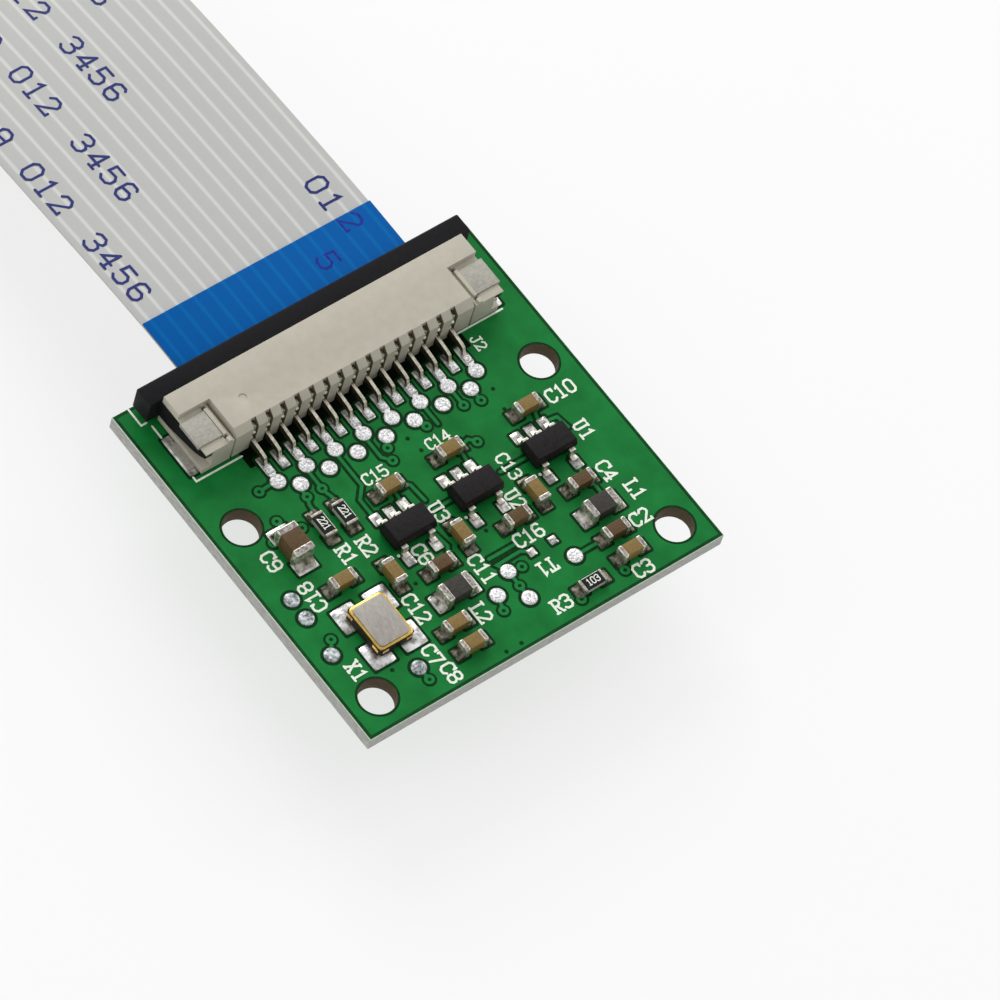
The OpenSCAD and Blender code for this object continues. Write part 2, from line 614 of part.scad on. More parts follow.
module flex_plug() color("#2c2c30") translate([0, flex_y, z_plug]) slab(plug_size[0] - 0.6, plug_size[1] - 0.6, 0, plug_h);
module flex_socket() color("#e6dcc4") translate([0, flex_y, z_socket]) slab(plug_size[0], plug_size[1], 0, socket_h);

// ---- indicator on the lens side ----

module indicator_light() color("mistyrose") place(light_spot, z_under - 0.6) {
  slab(cap_l, cap_w, 0.3, 0.6);
  slab(cap_l - 0.5, cap_w, 0, 0.3 + eps);
}
module indicator_resistor() color("#202020") place(light_resistor_spot, z_under - res_h) chip(cap_l, cap_w, res_h, 0.3);

// ---- nodes ----

circuit_board();
component_lands();
test_pads();
connector_housing();
connector_slider();
connector_contacts();
connector_nails();
flat_cable();
cable_stiffener_near();
cable_stiffener_far();
cable_conductors_near();
cable_conductors_far();
regulator_body(0);  // regulator_1_body
regulator_leads(0);  // regulator_1_leads
regulator_body(1);  // regulator_2_body
regulator_leads(1);  // regulator_2_leads
regulator_body(2);  // regulator_3_body
regulator_leads(2);  // regulator_3_leads
crystal_base();
crystal_ring();
crystal_lid();
inductor(0);  // inductor_1
inductor(1);  // inductor_2
capacitor(0);  // capacitor_1
capacitor(1);  // capacitor_2
capacitor(2);  // capacitor_3
capacitor(3);  // capacitor_4
capacitor(4);  // capacitor_5
capacitor(5);  // capacitor_6
capacitor(6);  // capacitor_7
capacitor(7);  // capacitor_8
capacitor(8);  // capacitor_9
capacitor(9);  // capacitor_10
capacitor(10);  // capacitor_11
capacitor(11);  // capacitor_12
capacitor(12);  // capacitor_13
capacitor(13);  // capacitor_14
large_capacitor();
resistor(0);  // resistor_1
resistor(1);  // resistor_2
resistor(2);  // resistor_3
foam_pad();
sensor_board();
image_sensor();
infrared_filter();
lens_holder();
lens_barrel();
lens_front();
lens_middle();
lens_rear();
camera_flex();
flex_plug();
flex_socket();
indicator_light();
indicator_resistor();
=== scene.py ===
import math
import random

import bmesh
import bpy
from mathutils import Matrix, Vector


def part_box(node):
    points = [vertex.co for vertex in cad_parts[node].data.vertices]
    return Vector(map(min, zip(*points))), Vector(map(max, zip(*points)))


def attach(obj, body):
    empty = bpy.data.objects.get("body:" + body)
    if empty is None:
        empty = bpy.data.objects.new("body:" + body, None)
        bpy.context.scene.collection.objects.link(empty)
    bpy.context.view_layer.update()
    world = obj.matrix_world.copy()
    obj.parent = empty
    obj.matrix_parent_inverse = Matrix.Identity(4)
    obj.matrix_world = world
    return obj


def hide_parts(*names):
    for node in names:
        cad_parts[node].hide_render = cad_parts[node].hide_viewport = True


# A small camera board lying on its lens, with its flat cable plugged in.
# Everything is in the part's own frame; mm turns millimetres into metres.

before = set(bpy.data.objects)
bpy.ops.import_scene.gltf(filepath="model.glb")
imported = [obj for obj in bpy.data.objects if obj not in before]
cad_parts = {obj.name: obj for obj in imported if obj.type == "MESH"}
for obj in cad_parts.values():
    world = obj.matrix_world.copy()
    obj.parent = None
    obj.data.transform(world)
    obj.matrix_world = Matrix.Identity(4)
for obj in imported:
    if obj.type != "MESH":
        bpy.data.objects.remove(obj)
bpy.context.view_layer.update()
mm = 0.001
chance = random.Random(7)

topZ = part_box("circuit_board")[1].z / mm
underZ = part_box("circuit_board")[0].z / mm
boardHalf = (12.5, 12.0)  # half the board's width and length


def point(x, y, z):
    return Vector((x * mm, y * mm, z * mm))


def onBoard(x, y):  # from the board's corner to the part's frame, in mm
    return x - boardHalf[0], y - boardHalf[1]


cameraSettings = {
    "azimuth": -54.12,
    "elevation": 56.76,
    "roll": 19.49,
    "distance": 442.8,  # from the target, in mm
    "focalLength": 288,
    "target": (2.99, -3.585, 6.5),
}


def placeCamera(s):
    a, e, r = (math.radians(s[k]) for k in ("azimuth", "elevation", "roll"))
    back = Vector((math.sin(a) * math.cos(e), -math.cos(a) * math.cos(e), math.sin(e)))
    right = Vector((math.cos(a), math.sin(a), 0))
    up = back.cross(right)
    across = right * math.cos(r) + up * math.sin(r)
    upward = up * math.cos(r) - right * math.sin(r)
    data = bpy.data.cameras.new("camera")
    data.lens = s["focalLength"]
    data.sensor_width = 36
    data.clip_start = 0.01
    camera = bpy.data.objects.new("camera", data)
    bpy.context.scene.collection.objects.link(camera)
    spot = point(*s["target"]) + back * s["distance"] * mm
    camera.matrix_world = Matrix((across, upward, back)).transposed().to_4x4()
    camera.matrix_world.translation = spot
    bpy.context.scene.camera = camera


placeCamera(cameraSettings)
print("camera placed")


def asPiece(name, bm, finishes, body="module", angle=32):
    mesh = bpy.data.meshes.new(name)
    bmesh.ops.recalc_face_normals(bm, faces=bm.faces)
    bm.to_mesh(mesh)
    bm.free()
    for tone in finishes:
        mesh.materials.append(tone)
    mesh.shade_smooth()
    mesh.set_sharp_from_angle(angle=math.radians(angle))
    piece = bpy.data.objects.new(name, mesh)
    bpy.context.scene.collection.objects.link(piece)
    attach(piece, body)
    return piece


def merge(bm, part, tone=0, place=None):  # adds one small mesh to a bigger one
    if place is not None:
        bmesh.ops.transform(part, matrix=place, verts=part.verts)
    for face in part.faces:
        face.material_index = tone
    mesh = bpy.data.meshes.new("part")
    part.to_mesh(mesh)
    part.free()
    bm.from_mesh(mesh)
    bpy.data.meshes.remove(mesh)


def turned(x, y, z, turn=0):
    return Matrix.Translation(point(x, y, z)) @ Matrix.Rotation(math.radians(turn), 4, "Z")


def block(w, l, z0, z1, soft, steps=2):  # a box with rounded edges, centred on x and y
    bm = bmesh.new()
    size = Matrix.Diagonal((w * mm, l * mm, (z1 - z0) * mm, 1))
    bmesh.ops.create_cube(bm, size=1, matrix=Matrix.Translation(point(0, 0, (z0 + z1) / 2)) @ size)
    bmesh.ops.bevel(bm, geom=bm.edges[:], offset=soft * mm, segments=steps, profile=0.6, affect="EDGES")
    return bm


def solidOf(node):  # the CAD solid with its corners joined up
    bm = bmesh.new()
    bm.from_mesh(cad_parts[node].data)
    bmesh.ops.remove_doubles(bm, verts=bm.verts, dist=1e-7)
    return bm


flatAngle = math.radians(0.4)  # faces that turn less than this are joined
sharpAngle = math.radians(28)  # edges that turn more than this are eased


def softEdges(node, name, finishes, soft, steps, body="module", pick=None):
    # the solid's own shape, with its flat faces joined up and its sharp edges eased
    bm = solidOf(node)
    bmesh.ops.dissolve_limit(bm, angle_limit=flatAngle, verts=bm.verts, edges=bm.edges)
    edges = [e for e in bm.edges if len(e.link_faces) == 2 and e.calc_face_angle(0) > sharpAngle]
    if soft:
        bmesh.ops.bevel(bm, geom=edges, offset=soft * mm, segments=steps, profile=0.6,
                        affect="EDGES", clamp_overlap=True)
    if pick:
        bm.faces.ensure_lookup_table()
        for face in bm.faces:
            face.material_index = pick(face)
    piece = asPiece(name, bm, finishes, body)
    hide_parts(node)
    return piece


def dress(rows):  # node, piece, finish, slot, how far its edges are eased, and in how many steps
    for node, name, tone, slotName, soft, steps in rows:
        softEdges(node, name, [tone], soft, steps)


# spread is how far a finish's colour strays either way, soft how gently it changes;
# grain and bumpGrain are noise scales per metre, and gloss is the specular level
def finish(name, colour, rough=0.45, metal=0.0, spread=0.12, grain=6000, bump=0.0, bumpGrain=20000,
           roughSpread=0.12, coat=0.0, stretch=(1, 1, 1), ior=None, gloss=0.5, soft=0.2):
    made = bpy.data.materials.new(name)
    made.use_nodes = True
    nodes, links = made.node_tree.nodes, made.node_tree.links
    shader = nodes["Principled BSDF"]
    shader.inputs["Metallic"].default_value = metal
    shader.inputs["Specular IOR Level"].default_value = gloss
    if coat:
        shader.inputs["Coat Weight"].default_value = coat
        shader.inputs["Coat Roughness"].default_value = 0.12
    if ior:
        shader.inputs["IOR"].default_value = ior
    where = nodes.new("ShaderNodeTexCoord")
    scaled = nodes.new("ShaderNodeMapping")
    scaled.inputs["Scale"].default_value = stretch
    links.new(where.outputs["Object"], scaled.inputs["Vector"])
    patches = nodes.new("ShaderNodeTexNoise")
    patches.inputs["Scale"].default_value = grain
    patches.inputs["Detail"].default_value = 5
    links.new(scaled.outputs["Vector"], patches.inputs["Vector"])
    tones = nodes.new("ShaderNodeValToRGB")
    tones.color_ramp.elements[0].position = 0.5 - soft
    tones.color_ramp.elements[1].position = 0.5 + soft
    tones.color_ramp.elements[0].color = [c * (1 - spread) for c in colour] + [1]
    tones.color_ramp.elements[1].color = [min(1, c * (1 + spread)) for c in colour] + [1]
    links.new(patches.outputs["Fac"], tones.inputs["Fac"])
    links.new(tones.outputs["Color"], shader.inputs["Base Color"])
    smears = nodes.new("ShaderNodeMapRange")
    smears.inputs["To Min"].default_value = max(0.02, rough - roughSpread)
    smears.inputs["To Max"].default_value = min(1, rough + roughSpread)
    links.new(patches.outputs["Fac"], smears.inputs["Value"])
    links.new(smears.outputs["Result"], shader.inputs["Roughness"])
    if bump:
        fine = nodes.new("ShaderNodeTexNoise")
        fine.inputs["Scale"].default_value = bumpGrain
        fine.inputs["Detail"].default_value = 4
        links.new(scaled.outputs["Vector"], fine.inputs["Vector"])
        relief = nodes.new("ShaderNodeBump")
        relief.inputs["Strength"].default_value = bump
        relief.inputs["Distance"].default_value = 0.02 * mm
        links.new(fine.outputs["Fac"], relief.inputs["Height"])
        links.new(relief.outputs["Normal"], shader.inputs["Normal"])
    return made


solderMask = finish("solder_mask", (0.005, 0.178, 0.032), 0.42, spread=0.16, grain=700, bump=0.12,
                    bumpGrain=2500, gloss=0.12)
maskShade = finish("mask_over_bare_board", (0.001, 0.034, 0.006), 0.45, spread=0.4, grain=4000, bump=0.1,
                   gloss=0.08)
# mask between the contacts' legs, painted near black as the shadow of the housing and legs
maskShadowUnderLegs = finish("mask_painted_shadow_under_legs", (0.0008, 0.007, 0.001), 0.6, spread=0.4, grain=4000, gloss=0.05)
maskTrace = finish("mask_over_copper", (0.007, 0.20, 0.042), 0.4, spread=0.1, grain=3000, bump=0.1,
                   gloss=0.14)
boardSide = finish("board_side", (0.41, 0.415, 0.385), 0.8, spread=0.3, grain=2500, bump=0.4, stretch=(1,
                   1, 7), gloss=0.2)
# the eased top rim of the board, painted pale as a highlight
boardRimHighlight = finish("board_rim_painted_highlight", (0.72, 0.74, 0.66), 0.7, spread=0.15, grain=5000, gloss=0.2)
# hole walls, painted dark brown as the shade inside the holes
holeWallShade = finish("hole_wall_painted_shade", (0.085, 0.058, 0.028), 0.65, spread=0.3, grain=2500, bump=0.5, stretch=(1,
                  1, 4), gloss=0.2)
legendInk = finish("legend_ink", (0.86, 0.92, 0.80), 0.6, spread=0.1, grain=9000, bump=0.2, gloss=0.2)
solderTin = finish("solder_tin", (0.81, 0.81, 0.81), 0.36, 0.6, spread=0.38, grain=9000, bump=1.6,
                   bumpGrain=9000, roughSpread=0.2, soft=0.1)
landTin = finish("land_tin", (0.60, 0.585, 0.55), 0.32, 0.8, spread=0.5, grain=1900, bump=1.0,
                 bumpGrain=5000, roughSpread=0.2, soft=0.12)
brightTin = finish("bright_tin", (0.84, 0.83, 0.79), 0.32, 0.7, spread=0.62, grain=1900, bump=1.0,
                   bumpGrain=5000, roughSpread=0.2, soft=0.12)
# tin of the discs at the left of the board, painted darker as shade
discTinShaded = finish("disc_tin_painted_shade", (0.40, 0.435, 0.44), 0.34, 0.6, spread=0.6, grain=4500, bump=1.4,
                 bumpGrain=7000, roughSpread=0.2, soft=0.12)
maskEdge = finish("mask_edge", (0.0015, 0.05, 0.009), 0.45, spread=0.3, grain=3000, gloss=0.1)
# solder drawn up chip ends and on lands under chips, painted near black as shade and dark reflections
filletTinShaded = finish("fillet_tin_painted_shade", (0.13, 0.12, 0.09), 0.32, 0.85, spread=0.85, grain=3600, bump=1.2,
                   bumpGrain=7000, roughSpread=0.2, soft=0.14)
# a lighter copy of that painted shade, for the larger chips
filletPaleShaded = finish("fillet_pale_painted_shade", (0.34, 0.33, 0.29), 0.32, 0.8, spread=0.78, grain=2600, bump=1.2,
                    bumpGrain=6000, roughSpread=0.2, soft=0.13)
capTin = finish("cap_tin", (0.66, 0.62, 0.53), 0.34, 0.8, spread=0.42, grain=5200, bump=0.8,
                bumpGrain=9000, soft=0.13)
capDull = finish("cap_dull_middle", (0.30, 0.28, 0.265), 0.45, 0.6, spread=0.5, grain=6500, bump=0.8,
                 bumpGrain=9000, soft=0.13)
contactTin = finish("contact_tin", (0.74, 0.70, 0.58), 0.26, 1.0, spread=0.3, grain=5000, bump=0.2)
# the contacts' sheared sides: bare bronze, and painted much darker as the shade on the legs' sides
contactSidesShaded = finish("contact_cut_edge_painted_shade", (0.085, 0.075, 0.045), 0.4, 0.6, spread=0.4, grain=5000, bump=0.3)
# inner walls of the comb, ivory painted dark as the shade between the contacts
ivorySlotPaintedShade = finish("ivory_slot_wall_painted_shade", (0.15, 0.125, 0.085), 0.8, spread=0.15, grain=3000, gloss=0.1)
resistorEnd = finish("resistor_end", (0.40, 0.38, 0.33), 0.4, 0.8, spread=0.4, grain=6500, bump=0.8,
                     bumpGrain=9000)
nailTin = finish("nail_tin", (0.38, 0.365, 0.318), 0.55, 0.35, spread=0.16, grain=5200, bump=0.5,
                 bumpGrain=9000)
ivoryMoulding = finish("ivory_moulding", (0.50, 0.47, 0.385), 0.6, spread=0.04, grain=1800, bump=0.25,
                       bumpGrain=16000, gloss=0.3)
blackMoulding = finish("black_moulding", (0.007, 0.007, 0.0085), 0.6, spread=0.3, grain=3000, bump=0.3,
                       gloss=0.12)
printBlue = finish("print_blue", (0.012, 0.020, 0.16), 0.5, spread=0.3, grain=9000, gloss=0.2)
printVeiled = finish("print_under_blue_film", (0.020, 0.035, 0.27), 0.5, spread=0.3, grain=9000, gloss=0.06)
tanCeramic = finish("tan_ceramic", (0.225, 0.148, 0.045), 0.45, spread=0.16, grain=7000, bump=0.3,
                    gloss=0.25)
brownCeramic = finish("brown_ceramic", (0.105, 0.062, 0.026), 0.45, spread=0.2, grain=7000, bump=0.3,
                      gloss=0.2)
darkFerrite = finish("dark_ferrite", (0.040, 0.036, 0.030), 0.55, spread=0.3, grain=6000, bump=0.4,
                     gloss=0.25)
blackGlaze = finish("black_glaze", (0.006, 0.006, 0.006), 0.4, spread=0.2, grain=4000, bump=0.2, gloss=0.2)
whiteCeramic = finish("white_ceramic", (0.50, 0.48, 0.43), 0.6, spread=0.06, grain=4000, bump=0.2,
                      gloss=0.3)
packageBlack = finish("package_black", (0.010, 0.008, 0.008), 0.55, spread=0.45, grain=5000, bump=0.7,
                      bumpGrain=12000, gloss=0.16)
leadTin = finish("lead_tin", (0.70, 0.66, 0.59), 0.32, 1.0, spread=0.2, grain=6000, bump=0.3)
darkCeramic = finish("dark_ceramic", (0.020, 0.014, 0.012), 0.6, spread=0.3, grain=5000, bump=0.4,
                     gloss=0.25)
goldPlate = finish("gold_plate", (0.80, 0.54, 0.14), 0.24, 1.0, spread=0.14, grain=2500, bump=0.1)
lidNickel = finish("lid_nickel", (0.385, 0.36, 0.325), 0.45, 0.4, spread=0.14, grain=3500, bump=0.3,
                   stretch=(3, 1, 1))
foamDark = finish("foam_dark", (0.03, 0.03, 0.03), 0.95, spread=0.5, grain=5000, bump=1.0,
                  bumpGrain=9000, gloss=0.2)
amberBoard = finish("amber_board", (0.33, 0.19, 0.04), 0.35, spread=0.12, grain=2500, coat=0.3)
sensorSilicon = finish("sensor_silicon", (0.10, 0.13, 0.18), 0.12, 0.8, spread=0.4, grain=2500)
holderBlack = finish("holder_black", (0.016, 0.016, 0.017), 0.6, spread=0.25, grain=3500, bump=0.4,
                     bumpGrain=14000, gloss=0.3)
barrelBlack = finish("barrel_black", (0.012, 0.012, 0.013), 0.42, spread=0.2, grain=3500, bump=0.15,
                     gloss=0.35)
amberFilm = finish("amber_film", (0.36, 0.17, 0.035), 0.28, spread=0.12, grain=2500, coat=0.3)
plugBlack = finish("plug_black", (0.03, 0.03, 0.032), 0.55, spread=0.2, grain=3500, bump=0.3, gloss=0.3)
socketCream = finish("socket_cream", (0.60, 0.53, 0.40), 0.6, spread=0.06, grain=3500, bump=0.2, gloss=0.3)
lampResin = finish("lamp_resin", (0.72, 0.50, 0.42), 0.22, spread=0.08, grain=3500, coat=0.4)
filterGlass = finish("filter_glass", (0.50, 0.74, 0.78), 0.06, spread=0.05, grain=2500, ior=1.5)
lensGlass = finish("lens_glass", (0.88, 0.92, 1.0), 0.04, spread=0.03, grain=2500, roughSpread=0.01,
                   ior=1.53)


bands = {"wire": 0.31, "gap": 0.39, "line": 0.455}  # how far from a conductor's middle each tone stands; the pale line midway between conductors is a painted highlight


def striped(name, wire, line, gap, rough, gloss):  # film over flat conductors, one every millimetre across, with a painted highlight line midway between them
    made = finish(name, gap, rough, spread=0.03, grain=1500, bump=0.05, gloss=gloss)
    nodes, links = made.node_tree.nodes, made.node_tree.links
    where = nodes.new("ShaderNodeTexCoord")
    axes = nodes.new("ShaderNodeSeparateXYZ")
    links.new(where.outputs["Object"], axes.inputs["Vector"])
    across = nodes.new("ShaderNodeMath")
    across.operation = "MULTIPLY"
    across.inputs[1].default_value = 1 / mm
    links.new(axes.outputs["X"], across.inputs[0])
    toWire = nodes.new("ShaderNodeMath")
    toWire.operation = "PINGPONG"
    toWire.inputs[1].default_value = 0.5
    links.new(across.outputs["Value"], toWire.inputs[0])
    stripes = nodes.new("ShaderNodeValToRGB")
    stripes.color_ramp.interpolation = "EASE"
    steps = ((0.0, wire), (bands["wire"], wire), (bands["gap"], gap), (bands["line"], line), (0.5, line))
    while len(stripes.color_ramp.elements) < len(steps):
        stripes.color_ramp.elements.new(0.5)
    for mark, (place, tone) in zip(stripes.color_ramp.elements, steps):
        mark.position = place
        mark.color = (*tone, 1)
    links.new(toWire.outputs["Value"], stripes.inputs["Fac"])
    mottle = nodes.new("ShaderNodeMix")
    mottle.data_type = "RGBA"
    mottle.blend_type = "MULTIPLY"
    mottle.inputs["Factor"].default_value = 1.0
    shade = nodes.new("ShaderNodeValToRGB")
    shade.color_ramp.elements[0].color = (0.94, 0.94, 0.94, 1)
    patches = nodes["Noise Texture"]
    links.new(patches.outputs["Fac"], shade.inputs["Fac"])
    links.new(stripes.outputs["Color"], mottle.inputs["A"])
    links.new(shade.outputs["Color"], mottle.inputs["B"])
    links.new(mottle.outputs["Result"], nodes["Principled BSDF"].inputs["Base Color"])
    return made


filmWhite = striped("film_white", (0.49, 0.495, 0.475), (0.635, 0.642, 0.615), (0.545, 0.551, 0.53), 0.5, 0.25)
stiffenerBlue = striped("stiffener_blue", (0.0006, 0.105, 0.385), (0.002, 0.134, 0.43), (0.001, 0.118, 0.405),
                        0.5, 0.05)
for glass, clear in ((filterGlass, 0.75), (lensGlass, 0.95)):
    glass.node_tree.nodes["Principled BSDF"].inputs["Transmission Weight"].default_value = clear
print("finishes mixed")


cable = {
    "width": 16,
    "thickness": 0.2,
    "conductors": 15,
    "pitch": 1.0,
    "length": 0.1497,  # in metres, along its route
    "ringStep": 1.5,
    "groove": 0.03,  # how far the film dips between conductors
    "crest": 0.24,  # half the level stretch over a conductor
    "shoulder": 0.36,  # where the dip deepens, and what share of it is reached there
    "shoulderDip": 0.3,
    "rim": [(0.0, 0.06), (0.04, 0.045)],  # at each edge: how far in, how far below the top
    "belly": [(0.0, 0.03), (0.04, 0.01)],  # the same underneath, above the bottom
    "flatFrom": 74,  # it lies level from here on
}
nearStiffener = {
    "from": 7.6,
    "to": 15.5,
    "top": 0.22,  # above the middle of the film
    "ease": (0.03, 0.02),  # how far in and down its upper edges are cut
    "ringStep": 0.8,
}
cableRoute = [  # distance from the board's middle, height, turn in degrees
    (7.6, 7.6, 0), (9, 7.6, 0), (11, 7.6, 0), (13, 7.6, 0),
    (15, 7.58, 0.1), (17, 7.5, 0.3), (19.5, 7.35, 0.6), (22, 7.16, 0.9), (24.5, 6.96, 1.2),
    (27, 6.75, 1.4), (30, 6.47, 1.5), (33, 6.13, 1.5), (36, 5.72, 1.4), (39, 5.24, 1.3), (42, 4.68, 1.1),
    (45, 4.05, 0.9), (48, 3.4, 0.7), (51, 2.76, 0.5), (54, 2.15, 0.35), (57, 1.59, 0.2), (60, 1.1, 0.1),
    (63, 0.7, 0), (66, 0.41, 0), (70, 0.21, 0), (75, 0.16, 0), (85, 0.16, 0), (97, 0.16, 0),
    (110, 0.16, 0), (123, 0.16, 0), (136, 0.16, 0), (148, 0.16, 0), (156.7, 0.16, 0),
]


def routeAt(y):  # smooth height and turn of the cable at a distance
    last = len(cableRoute) - 2
    i = max(0, min(last, next((k for k in range(last + 1) if y < cableRoute[k + 1][0]), last)))
    a, b = cableRoute[i], cableRoute[i + 1]
    before, after = cableRoute[max(0, i - 1)], cableRoute[min(last + 1, i + 2)]
    span = b[0] - a[0]
    t = (y - a[0]) / span
    found = []
    for k in (1, 2):
        slopeA = (b[k] - before[k]) / (b[0] - before[0]) * span if i else (b[k] - a[k])
        slopeB = (after[k] - a[k]) / (after[0] - a[0]) * span if i < last else (b[k] - a[k])
        if y > cable["flatFrom"]:
            slopeA = slopeB = 0
        h = (2 * t ** 3 - 3 * t ** 2 + 1, t ** 3 - 2 * t ** 2 + t, 3 * t ** 2 - 2 * t ** 3, t ** 3 - t ** 2)
        found.append(h[0] * a[k] + h[1] * slopeA + h[2] * b[k] + h[3] * slopeB)
    return found


def onCable(x, y, out):  # a point on the cable: across, along, and out of its face
    z, turn = routeAt(y)
    c, s = math.cos(math.radians(turn)), math.sin(math.radians(turn))
    return point(x * c - out * s, y, z + x * s + out * c)


def strip(y0, y1, outline, step):  # sweeps a cross-section of (across, out) along the cable
    bm = bmesh.new()
    count = max(1, round((y1 - y0) / step))
    stops = [y0 + (y1 - y0) * i / count for i in range(count + 1)]
    rings = [[bm.verts.new(onCable(x, y, out)) for x, out in outline] for y in stops]
    for a, b in zip(rings, rings[1:]):
        for i in range(len(outline)):
            j = (i + 1) % len(outline)
            bm.faces.new((a[i], a[j], b[j], b[i]))
    bm.faces.new(rings[0][::-1])
    bm.faces.new(rings[-1])
    return bm, stops


def makeCable(s):
    half, t, dip = s["width"] / 2, s["thickness"] / 2, s["groove"]
    crest, shoulder, slope = s["crest"], s["shoulder"], t - dip * s["shoulderDip"]
    ridges = []
    for i in range(s["conductors"]):
        x = (i - (s["conductors"] - 1) / 2) * s["pitch"]
        ridges += [(x - s["pitch"] / 2, t - dip), (x - shoulder, slope), (x - crest, t), (x + crest, t),
                   (x + shoulder, slope)]
    ridges.append((x + s["pitch"] / 2, t - dip))
    outline = [(x - half, t - z) for x, z in s["rim"]] + ridges + [(half - x, t - z) for x, z in s["rim"][::-1]]
    outline += [(half - x, z - t) for x, z in s["belly"]] + [(x - half, z - t) for x, z in s["belly"][::-1]]
    bm, stops = strip(cableRoute[0][0], cableRoute[-1][0], outline, s["ringStep"])
    piece = asPiece("flat_cable_film", bm, [filmWhite], angle=50)
    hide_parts("flat_cable")
    return piece, [onCable(0, y, 0) for y in stops]


def makeNearStiffener(s):
    half, low, high = cable["width"] / 2, cable["thickness"] / 2, s["top"]
    easeIn, easeDown = s["ease"]
    side = [(half, high - easeDown), (half - easeIn, high)]
    outline = [(-half, low), (half, low)] + side + [(-x, z) for x, z in side[::-1]]
    bm, _ = strip(s["from"], s["to"], outline, s["ringStep"])
    piece = asPiece("stiffener_by_the_board", bm, [stiffenerBlue], angle=50)
    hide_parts("cable_stiffener_near")
    return piece


cablePiece, cablePath = makeCable(cable)
nearFilm = makeNearStiffener(nearStiffener)
farStiffener = softEdges("cable_stiffener_far", "stiffener_at_the_free_end", [stiffenerBlue],
                         0.02, 1)
nearConductors = softEdges("cable_conductors_near", "conductors_by_the_board", [contactTin], 0.004, 1)
farConductors = softEdges("cable_conductors_far", "conductors_at_the_free_end", [contactTin], 0.004, 1)
print("cable laid")


stage = {
    "paleness": 0.28,
    "floorGlow": 0.69,
    "floorDrop": 0.00002,  # how far the floor is below the lowest point, in metres
    "sky": 0.56,
    "lamps": [  # name, place in metres, size, watts
        ("back", (0.22, 0.62, 0.46), 0.5, 3.3),
        ("side", (0.70, 0.05, 0.50), 0.4, 1.2),
        ("fill", (-0.60, 0.30, 0.55), 0.5, 0.9),
    ],
}


def makeStage(s):
    bm = bmesh.new()
    bmesh.ops.create_grid(bm, x_segments=2, y_segments=2, size=2)
    mesh = bpy.data.meshes.new("floor")
    bm.to_mesh(mesh)
    bm.free()
    floor = bpy.data.objects.new("floor", mesh)
    floor.location.z = -s["floorDrop"]
    bpy.context.scene.collection.objects.link(floor)
    paper = finish("floor_paper", (s["paleness"],) * 3, 0.9, spread=0.01, grain=30, gloss=0.1)
    paper.node_tree.nodes["Principled BSDF"].inputs["Emission Color"].default_value = (1, 1, 1, 1)
    paper.node_tree.nodes["Principled BSDF"].inputs["Emission Strength"].default_value = s["floorGlow"]
    mesh.materials.append(paper)
    world = bpy.data.worlds.new("studio")
    world.use_nodes = True
    world.node_tree.nodes["Background"].inputs["Color"].default_value = (1, 1, 1, 1)
    world.node_tree.nodes["Background"].inputs["Strength"].default_value = s["sky"]
    bpy.context.scene.world = world
    for name, spot, size, power in s["lamps"]:
        data = bpy.data.lights.new(name, "AREA")
        data.energy = power
        data.size = size
        lamp = bpy.data.objects.new(name, data)
        lamp.location = spot
        lamp.rotation_euler = (-Vector(spot)).to_track_quat("-Z", "Y").to_euler()
        bpy.context.scene.collection.objects.link(lamp)


makeStage(stage)
bpy.context.scene.view_settings.view_transform = "Standard"
print("stage lit")


def islands(node):  # boxes of a node's separate bits: middle x, y, width, length, bottom, top
    bm = solidOf(node)
    left, found = set(bm.verts), []
    while left:
        stack, bit = [left.pop()], []
        while stack:
            v = stack.pop()
            bit.append(v.co / mm)
            for e in v.link_edges:
                o = e.other_vert(v)
                if o in left:
                    left.remove(o)
                    stack.append(o)
        lo = [min(c[k] for c in bit) for k in range(3)]
        hi = [max(c[k] for c in bit) for k in range(3)]
        found.append(((lo[0] + hi[0]) / 2, (lo[1] + hi[1]) / 2, hi[0] - lo[0], hi[1] - lo[1], lo[2], hi[2]))
    bm.free()
    return sorted(found)


def nodeBox(node):  # the same for a whole node
    lo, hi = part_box(node)
    return ((lo.x + hi.x) / 2 / mm, (lo.y + hi.y) / 2 / mm, (hi.x - lo.x) / mm, (hi.y - lo.y) / mm,
            lo.z / mm, hi.z / mm)


# paint and copper are thin strokes and plates laid on a surface
def onTop(x, y, out):
    return point(x, y, topZ + out)


def onUnderside(x, y, out):
    return point(x, y, underZ - out)


roundEnd = ((1, 0.25), (0.87, 0.5), (0.5, 0.87))  # how far on, and how wide, in half widths


def layPath(bm, path, width, surface, base, thick, closed=False):
    pts = [Vector(p) for p in path]
    n = len(pts)
    half = width / 2
    pairs = []
    for i, p in enumerate(pts):
        before = pts[i - 1] if i or closed else None
        after = pts[(i + 1) % n] if i < n - 1 or closed else None
        a = (p - before).normalized() if before is not None else None
        b = (after - p).normalized() if after is not None else None
        along = ((a or b) + (b or a)).normalized()
        side = Vector((-along.y, along.x))
        reach = half / max(0.45, side.dot(Vector((-(a or b).y, (a or b).x))))  # a sharp corner is cut short
        if not closed and i == 0:
            pairs += [(p - along * half * c, side * half * s) for c, s in roundEnd]
        pairs.append((p, side * reach))
        if not closed and i == n - 1:
            pairs += [(p + along * half * c, side * half * s) for c, s in roundEnd[::-1]]
    rings = []
    for c, s in pairs:
        l, r = c + s, c - s
        rings.append([bm.verts.new(surface(q.x, q.y, o)) for q, o in
                      ((l, base), (l, base + thick), (r, base + thick), (r, base))])
    spans = list(zip(rings, rings[1:])) + ([(rings[-1], rings[0])] if closed else [])
    for a, b in spans:
        for k in range(4):
            m = (k + 1) % 4
            bm.faces.new((a[k], a[m], b[m], b[k]))
    if not closed:
        bm.faces.new(rings[0][::-1])
        bm.faces.new(rings[-1])


